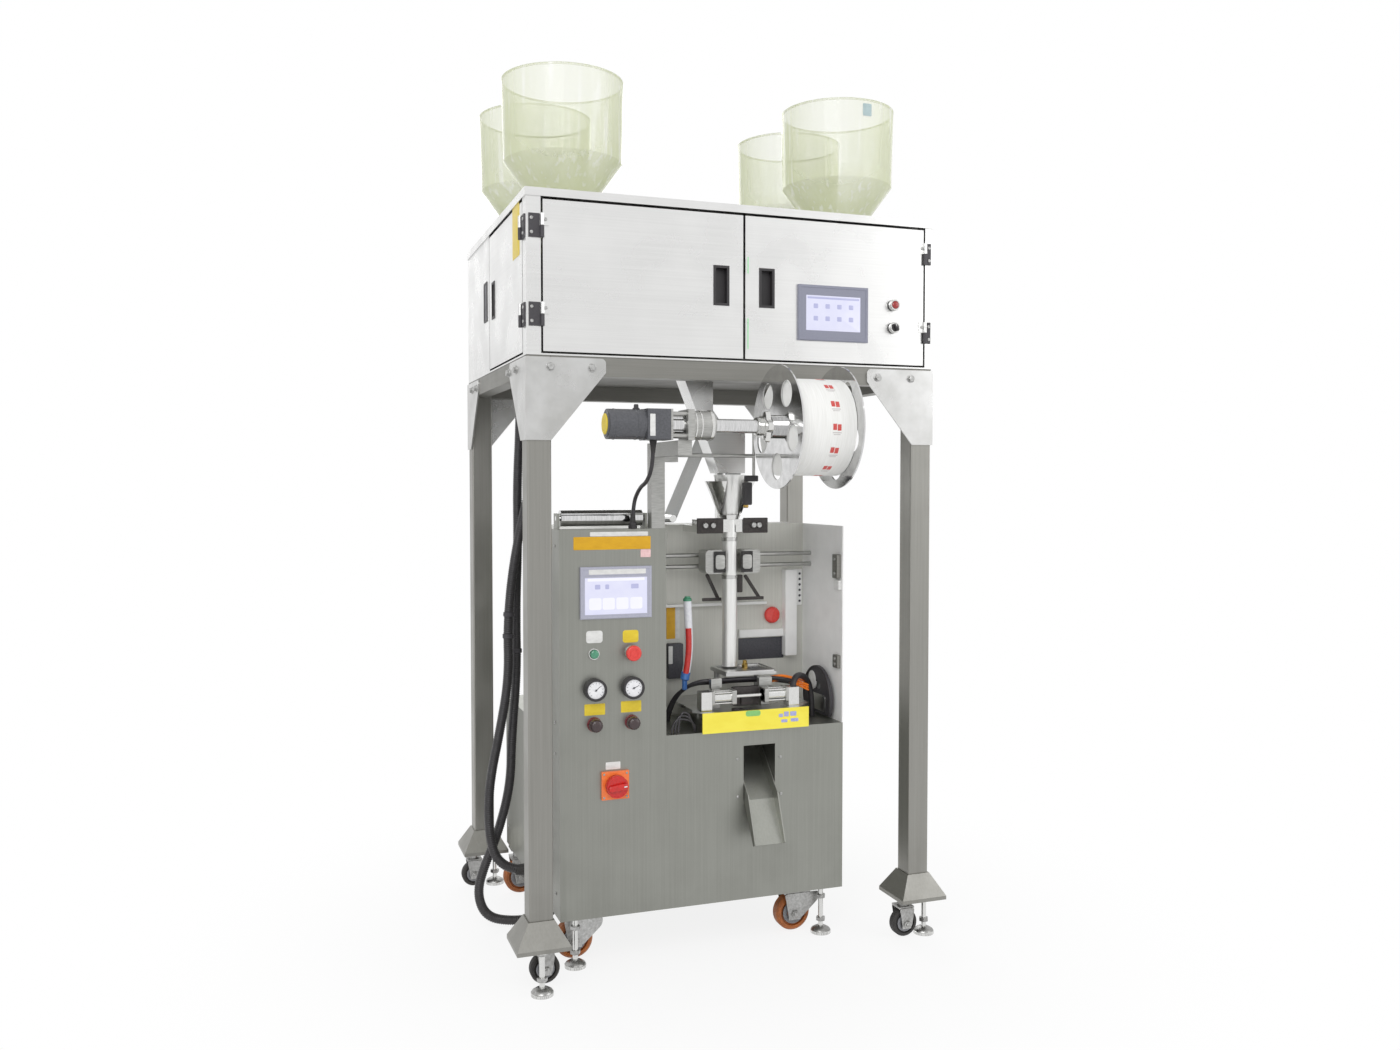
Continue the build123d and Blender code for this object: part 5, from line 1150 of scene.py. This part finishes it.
class PACKER_OT_reel(Operator):
    """The motor's cap and label, the bearing's rings, the lobed clamp, the marks on the film and the photo-eye"""

    bl_idname = "packer.reel"
    bl_label = "Reel details"

    def execute(self, context):
        self.motor()
        self.shaft()
        self.film_print()
        self.photo_eye()
        return {"FINISHED"}

    def motor(self):
        """End cap with its yellow disc, bands at the joints, a bare label and the cable's fitting."""
        end, front, _ = corner_of("gear_motor", 0)
        cap = on_reel(end + 1, [(0, 31), (2, 31), (4, 29), (4.6, 26)], 48, direction=LEFT)
        make("motor_end_cap", "sprayed_grey_motor", [cap])
        disc = on_reel(end - 3, [(0, 25), (2, 25), (3, 23.6)], 48, direction=LEFT)
        make("motor_yellow_disc", "yellow_vinyl_label", [disc])
        band = [(0, 36.1), (0.6, 36.9), (3.4, 36.9), (4, 36.1)]
        make("motor_joint_bands", "sprayed_grey_motor", [on_reel(x, band, 48) for x in (-372, -318, -301)])
        make("gearbox_label", "white_vinyl_label", plates("front", front, (-283, 1387, 13, 52, 0.5, 1, 0.1)))
        fitting = [
            on_reel(-313, [(0, 9), (5, 9), (6, 8)], 6, direction=UP, dz=33),
            on_reel(-313, [(0, 6), (8, 5.4), (9, 4)], 24, direction=UP, dz=39),
        ]
        make("motor_fitting", "moulded_black_abs", fitting)

    def shaft(self):
        """Rings round the bearing, nuts on the adapter, and the lobed clamp that holds the roll."""
        end = corner_of("reel_bearing", 1)[0]
        rings = [
            on_reel(end - back, [(0, 35.1), (0.5, radius), (wide - 0.5, radius), (wide, 35.1)], 56)
            for back, radius, wide in ((70, 37, 7), (52, 36.2, 4), (38, 36.2, 4), (12, 37, 8))
        ]
        make("bearing_rings", "buffed_stainless_tube", rings)
        nut = [(-3, 7), (0, 7), (1, 6)]
        nuts = [on_reel(-238, nut, 6, direction=LEFT, dy=dy, dz=dz) for dy, dz in product((-26, 26), repeat=2)]
        make("adapter_nuts", "zinc_plated_steel", nuts, crease=25)
        clamp = on_reel(12, [(0, 25), (3, 33), (15, 35), (18, 30)], 80, 5, 0.16)
        collar = on_reel(-6, [(0, 20), (1.5, 22.5), (16, 22.5), (18, 21)], 40)
        make("reel_lobed_clamp", "buffed_stainless_tube", [clamp, collar], "reel", crease=50)

    def film_print(self):
        """Two red blocks and two grey lines for each bag, thirteen times round the roll."""
        red, grey = [], []
        for a in np.arange(26, 386, 360 / 13):
            red += [wrapped((148, 158), (a - 3.6, a + 3.6)), wrapped((160, 170), (a - 4.2, a + 3))]
            grey += [wrapped((147, 171), (a - 7.2, a - 6.2)), wrapped((150, 168), (a - 9.2, a - 8.4))]
        make("film_red_marks", "red_print", red, "reel")
        make("film_grey_lines", "grey_print", grey, "reel")

    def photo_eye(self):
        """The sensor that reads the film's marks: its body, its clamp on the rod, and its brass lens."""
        rod_y = -224
        eye = plates("front", rod_y - 9, (51, 1222, 22, 60, 18, 4, 1.5))
        clamp = plates("front", rod_y - 6, (65, 1262, 36, 16, 12, 3, 1))
        make("photo_eye_body", "moulded_black_abs", eye + clamp)
        tip = turned((51, rod_y - 9, 1192), DOWN, [(0, 7), (6, 7), (8, 5)], 24)
        make("photo_eye_lens", "turned_brass", [tip])


# ---------------------------------------------------------------- film, forming and sealing


class PACKER_OT_film(Operator):
    """The web of filter paper from the roller on the column over the guide rollers into the collar"""

    bl_idname = "packer.film"
    bl_label = "Film web"

    def execute(self, context):
        low, high = corner_of("film_web", 0), corner_of("film_web", 1)
        # The rollers' centres in X and Z, and how far the paper's middle is from them
        first, second, third = (-88, 1152), (45, 1398), (104, 1398)
        reach, tail, collar_z = 10.8, 30, 1263
        run, rise = second[0] - first[0], second[1] - first[1]
        climb = math.atan2(rise, run) + math.asin(2 * reach / math.hypot(run, rise))

        def arc(centre, start, stop, steps=10):
            a = np.linspace(start, stop, steps)
            return np.column_stack((centre[0] + reach * np.cos(a), centre[1] + reach * np.sin(a)))

        line = np.vstack((
            [(first[0] - tail, first[1] - reach)],
            arc(first, -math.pi / 2, climb - math.pi / 2),
            arc(second, climb + math.pi / 2, math.pi / 2),
            arc(third, math.pi / 2, 0),
            [(third[0] + reach, collar_z)],
        ))
        sideways = np.gradient(line, axis=0)
        sideways = np.column_stack((-sideways[:, 1], sideways[:, 0])) / np.linalg.norm(sideways, axis=1)[:, None]
        rows = []
        for offset, y in ((-0.2, low[1]), (-0.2, high[1]), (0.2, high[1]), (0.2, low[1])):
            at = line + sideways * offset
            rows.append(np.column_stack((at[:, 0], np.full(len(at), y), at[:, 1])))
        web = make("filter_web", "filter_paper_web", [skin(np.stack(rows, axis=1))], crease=60)
        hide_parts("film_web")
        return {"FINISHED"}


class PACKER_OT_forming(Operator):
    """Seam and clamp of the forming tube, belts of the pullers, and what is on the wall behind them"""

    bl_idname = "packer.forming"
    bl_label = "Forming and pullers"

    def execute(self, context):
        x, y, _ = (corner_of("forming_tube", 0) + corner_of("forming_tube", 1)) / 2
        make("tube_seam", "satin_ground_tube", plates("front", y - 19, (x + 9, 945, 3, 380, 1, 1, 0.3)))
        band = [(0, 21.2), (0.8, 22.4), (9.2, 22.4), (10, 21.2)]
        clamps = [turned((x, y, z), UP, band, 40) for z in (1090, 985)]
        make("tube_clamps", "rolled_stainless_sheet", clamps)
        self.pullers(x, y)

        # Clamp screws and slotted cheeks on the collar's holder
        cheeks = plates("front", y - 20, (-4, 1133, 76, 42, 6, 2, 0.6), (130, 1133, 72, 42, 6, 2, 0.6))
        # The holder's cheeks take the dark steel, partly painted shade.
        make("holder_cheeks", "blackened_steel_and_painted_shade", cheeks)
        knurl = [(0, 8), (6, 8), (8, 6.6)]
        knobs = [turned((spot, y - 26, 1134), AHEAD, knurl, 60, 10, 0.05) for spot in (-20, 2, 122, 138)]
        make("holder_knobs", "zinc_plated_steel", knobs)
        self.recess_wall()
        self.wing_fittings()
        return {"FINISHED"}

    def pullers(self, x, y):
        """Toothed belts round the two puller blocks, a cover on each, and the dark links below them."""
        count, level = 120, 1033.5
        angle = np.linspace(0, 2 * math.pi, count, endpoint=False)
        tooth = 0.6 * np.sign(np.sin(30 * angle))
        across, upward = 17 * np.clip(1.6 * np.cos(angle), -1, 1), 29 * np.clip(1.6 * np.sin(angle), -1, 1)
        belts = []
        for centre in (x - 40, x + 40):
            line = (centre + across * (1 + tooth / 60), np.full(count, y - 30), level + upward)
            belts.append(skin([np.column_stack(line) + (0, dy, 0) for dy in (0, -1.5)]))
        make("puller_belts", "vulcanised_rubber_tyre", belts, crease=40)
        covers = [(centre, level, 28, 40, 2.4, 8, 1) for centre in (x - 40, x + 40)]
        make("puller_covers", "milled_aluminium", plates("front", y - 32, *covers))
        level_links = plates("front", -60, (18, 926, 56, 9, 6, 2, 0.8), (128, 926, 92, 9, 6, 2, 0.8))
        slanting = [(22, 962, 9, 76, 6, 3, 0.8, 26), (142, 958, 9, 80, 6, 3, 0.8, 34), (104, 968, 16, 50, 6, 3, 0.8)]
        # The links take the dark steel, partly painted shade.
        make("puller_links", "blackened_steel_and_painted_shade", level_links + plates("front", -54, *slanting))

    def recess_wall(self):
        """Ledges, a slotted strip, a dark box, painted shade in an opening and in the strip's slots, the red cap and
        bare labels on the wall behind the tube.
        """
        wall = RECESS_BACK
        ledges = plates(
            "front", wall,
            (30, 905, 360, 8, 16, 2, 1), (198, 817, 142, 22, 10, 2, 1), (282, 875, 36, 250, 26, 3, 1),
            (312, 947, 26, 106, 5, 2, 0.6), (-128, 1075, 70, 90, 8, 3, 1),
        )
        # The ledges take the pale sheet, whose colour is raised as painted light.
        make("wall_ledges", "painted_light_pale_stainless_sheet", ledges)
        # Painted shade: the flat dark plate below the ledge and the small squares on the strip stand for the shade in
        # an opening and in the strip's slots; the deep plate is a dark box.
        dark = plates("front", wall, (198, 772, 142, 62, 1, 2, 0.3), (-69, 750, 44, 98, 20, 3, 1))
        dark += plates("front", wall - 5, *((318, z, 7, 7, 0.6, 3, 0.1) for z in range(906, 996, 16)))
        make("wall_openings", "dark_print_and_painted_shade", dark)
        cap = turned((230, wall, 868), AHEAD, [(0, 22), (8, 24), (13, 21), (16, 14)], 36)
        make("red_grease_cap", "moulded_red_stop_cap", [cap])
        make("wall_amber_label", "amber_vinyl_label", plates("front", wall, (-78, 857, 26, 92, 1, 1.5, 0.2)))
        pale = plates("front", wall, (-58, 857, 12, 92, 1, 1.5, 0.2))
        pale += plates("front", wall - 20, (-85, 768, 12, 50, 1, 1.5, 0.2))
        make("wall_white_labels", "white_vinyl_label", pale)

    def wing_fittings(self):
        """Brackets near the wing's front edge with their screws, and a white pad."""
        brackets = plates("left", WING_INSIDE, (-222, 1022, 30, 66, 12, 3, 1), (-222, 760, 30, 36, 10, 3, 1))
        make("wing_brackets", "satin_stainless_beam", brackets)
        pad = plates("left", WING_INSIDE, (-226, 971, 30, 26, 9, 3, 1))
        make("wing_white_pad", "white_vinyl_label", pad, slot="paper_roll")
        spots = [(12, 1042), (12, 1002), (10, 768), (10, 752)]
        screws = [screw("left", (WING_INSIDE - depth, -222, z), 5) for depth, z in spots]
        make("wing_screws", "zinc_plated_steel", screws)


class PACKER_OT_sealing(Operator):
    """Brackets, blocks, wires and fittings on the sealing table, and the green and blue marks on its plate"""

    bl_idname = "packer.sealing"
    bl_label = "Sealing table"

    def execute(self, context):
        self.jaws()
        self.guard_window()
        face = front_of("table_front_plate")
        make("plate_green_tab", "green_vinyl_label", plates("front", face, (60, 641, 42, 15, 0.6, 6, 0.2)))
        spots = ((140, 630, 12, 9), (156, 633, 14, 13), (176, 633, 18, 12), (150, 615, 18, 8), (180, 616, 22, 9))
        marks = plates("front", face, *((*spot, 0.5, 1.5, 0.15) for spot in spots))
        make("plate_blue_marks", "blue_print", marks)
        self.cables()
        self.feed_tube()
        nut = turned((104, -96, 736), UP, [(0, 9), (10, 9), (12, 7)], 6)
        stub = turned((104, -96, 748), UP, [(0, 6), (8, 6), (9, 4)], 24)
        make("table_union", "turned_brass", [nut, stub])
        return {"FINISHED"}

    def jaws(self):
        """End plates and tie rods of the two cylinders, the guides between them and the blocks on the tray."""
        y, z = -226, 682
        ends = ((-48, 8), (8.5, 13), (102, 12), (164, 8))
        end_plates = [plate("right", (x, y, z), (38, 38), thick, 3, 1) for x, thick in ends]
        make("jaw_end_plates", "milled_aluminium", end_plates)
        ties = [
            turned((first, y + dy, z + dz), RIGHT, [(0, 2.2), (last - first, 2.2)], 12)
            for first, last in ((-40, 9), (114, 164))
            for dy, dz in product((-14, 14), repeat=2)
        ]
        make("jaw_tie_rods", "buffed_stainless_tube", ties)
        core = plates("front", -196, (62, 678, 76, 50, 14, 4, 1)) + plates("front", -200, (62, 668, 34, 26, 18, 3, 1))
        # The guides take the dark steel, partly painted shade.
        make("jaw_guides", "blackened_steel_and_painted_shade", core)
        tray = corner_of("sealing_table", 0)[2] + 54
        blocks = plates("front", -186, (-20, 714, 31, 28, 16, 3, 1), (122, 712, 38, 26, 16, 3, 1))
        blocks += plates("top", tray, (-20, -192, 24, 14, 58, 2, 1), (122, -192, 24, 14, 56, 2, 1))
        make("jaw_blocks", "milled_aluminium", blocks)
        rim = frame_of("top", (90, -118, 736), (148, 122), 4, 9, 10, 1.5)
        make("top_plate_rim", "rolled_stainless_sheet", [rim])

    def guard_window(self):
        """A pale oval sheet in the guard's window as painted light, and a beaded edge round the guard's arch."""
        low, high = corner_of("jaw_guard", 0), corner_of("jaw_guard", 1)
        face = low[0] + 3
        # Painted light: a white sheet in the window stands for the light seen through it.
        pane = plates("left", face, (-95, 690, 46, 54, 4.2, 23, 0.3))
        make("guard_window_painted_light", "white_vinyl_label", pane, slot="paper_roll")
        skirt = plates("left", face, (-127, 634, 104, 46, 3.8, 10, 0.3))
        make("guard_skirt", "rolled_stainless_sheet", skirt, slot="brushed_sheet")
        middle, centre_z, radius = (low[1] + high[1]) / 2, 647, 85
        turn = np.radians(np.linspace(-28, 208, 48))
        arch = (np.full(48, low[0]), middle + radius * np.cos(turn), centre_z + radius * np.sin(turn))
        make("guard_bead", "moulded_black_abs", [carried(np.column_stack(arch), 3, 12)])

    def cables(self):
        """Seven orange wires beside the guard, and the black cables that cross the table and go down its ends."""
        wires = []
        for n in range(7):
            z, y = 716 - 4.6 * (n % 4), -150 - 5 * (n // 4) - n
            run = [(160, y, z), (186, y - 1, z + 4), (222, y - 3, z - 4 - n), (268, y - 3, z - 20 - 2 * n)]
            wires.append(carried(bend(run), 2.5, 10))
        make("orange_wires", "extruded_orange_pvc", wires)
        thick = [
            (196, -214, 690), (206, -200, 716), (236, -176, 722),
            (270, -150, 704), (290, -136, 660), (292, -134, 596),
        ]
        bundle = [carried(bend(thick), 8.5, 16)]
        for n in range(3):
            x, y, z = 4 * n, -166 + 9 * n, 716 - 5 * n
            run = [
                (-112 - x, -64, 596), (-104 - x, -84, 664), (-60, y + 22, z - 2), (-6, y, z), (60, y - 2, z + 2),
                (126, y, z), (176, y, z - 2), (214 + x, y, z - 12),
            ]
            bundle.append(carried(bend(run), 5.5 - n, 14))
        for n in range(3):
            loop = [
                (-140 - 9 * n, -236, 596), (-138 - 9 * n, -240, 652 - 8 * n), (-112, -238, 650 - 9 * n),
                (-96 + 4 * n, -232, 612), (-90, -226, 596),
            ]
            bundle.append(carried(bend(loop), 2.6, 10))
        make("jaw_cable", "extruded_black_pvc", bundle)

    def feed_tube(self):
        """The bent feed tube on the left, white with a red core in its open side, and the blue unions below it."""
        y, top_z = -126, 931
        way = bend([(-76, y, top_z), (-74, y, 885), (-71, y, 830), (-72, y, 780), (-80, y, 735)])
        make("bent_feed_tube", "extruded_white_tube", [carried(way, 11, 20)])
        make("feed_tube_core", "dyed_red_core", [carried(way[8:] + (-2.5, -5.5, 0), 8.4, 16)])
        cap = turned((-76, y, top_z), UP, [(0, 12), (6, 12), (8, 9), (13, 7)], 24)
        make("feed_tube_cap", "moulded_green_lens", [cap])
        unions = [
            turned((-80, y, 738), (-0.2, 0, -1), [(0, 12.4), (20, 12.4), (23, 9)], 24),
            turned((-84, y, 716), DOWN, [(0, 7), (24, 7), (26, 6)], 24),
        ]
        make("blue_unions", "extruded_blue_tube", unions)


# ---------------------------------------------------------------- sidebar and run


class PACKER_PT_sidebar(Panel):
    """Lists the machine's sizes, colours and makers"""

    bl_label = "Packing machine"
    bl_idname = "PACKER_PT_sidebar"
    bl_space_type = "VIEW_3D"
    bl_region_type = "UI"
    bl_category = "Packing machine"

    def draw(self, context):
        layout = self.layout
        for group in (context.scene.packer_sizes, context.scene.packer_colours):
            for name in group.__annotations__:
                layout.prop(group, name)
        for maker in MAKERS:
            layout.operator(maker.bl_idname)


MAKERS = (
    PACKER_OT_stage,
    PACKER_OT_hoses,
    PACKER_OT_finish_parts,
    PACKER_OT_fasteners,
    PACKER_OT_cabinet,
    PACKER_OT_control_panel,
    PACKER_OT_reel,
    PACKER_OT_film,
    PACKER_OT_forming,
    PACKER_OT_sealing,
)
CLASSES = (PackerSizes, PackerColours, *MAKERS, PACKER_PT_sidebar)


def register():
    for cls in CLASSES:
        bpy.utils.register_class(cls)
    bpy.types.Scene.packer_sizes = PointerProperty(type=PackerSizes)
    bpy.types.Scene.packer_colours = PointerProperty(type=PackerColours)


def unregister():
    del bpy.types.Scene.packer_colours
    del bpy.types.Scene.packer_sizes
    for cls in reversed(CLASSES):
        bpy.utils.unregister_class(cls)


def corners(box):
    return [[float(v) for v in corner] for corner in box]


def main():
    cad = corners(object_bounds())
    register()
    for maker in MAKERS:
        group, name = maker.bl_idname.split(".")
        getattr(getattr(bpy.ops, group), name)()
    {"cad": cad, "visual": corners(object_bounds())}


if __name__ == "__main__":
    main()
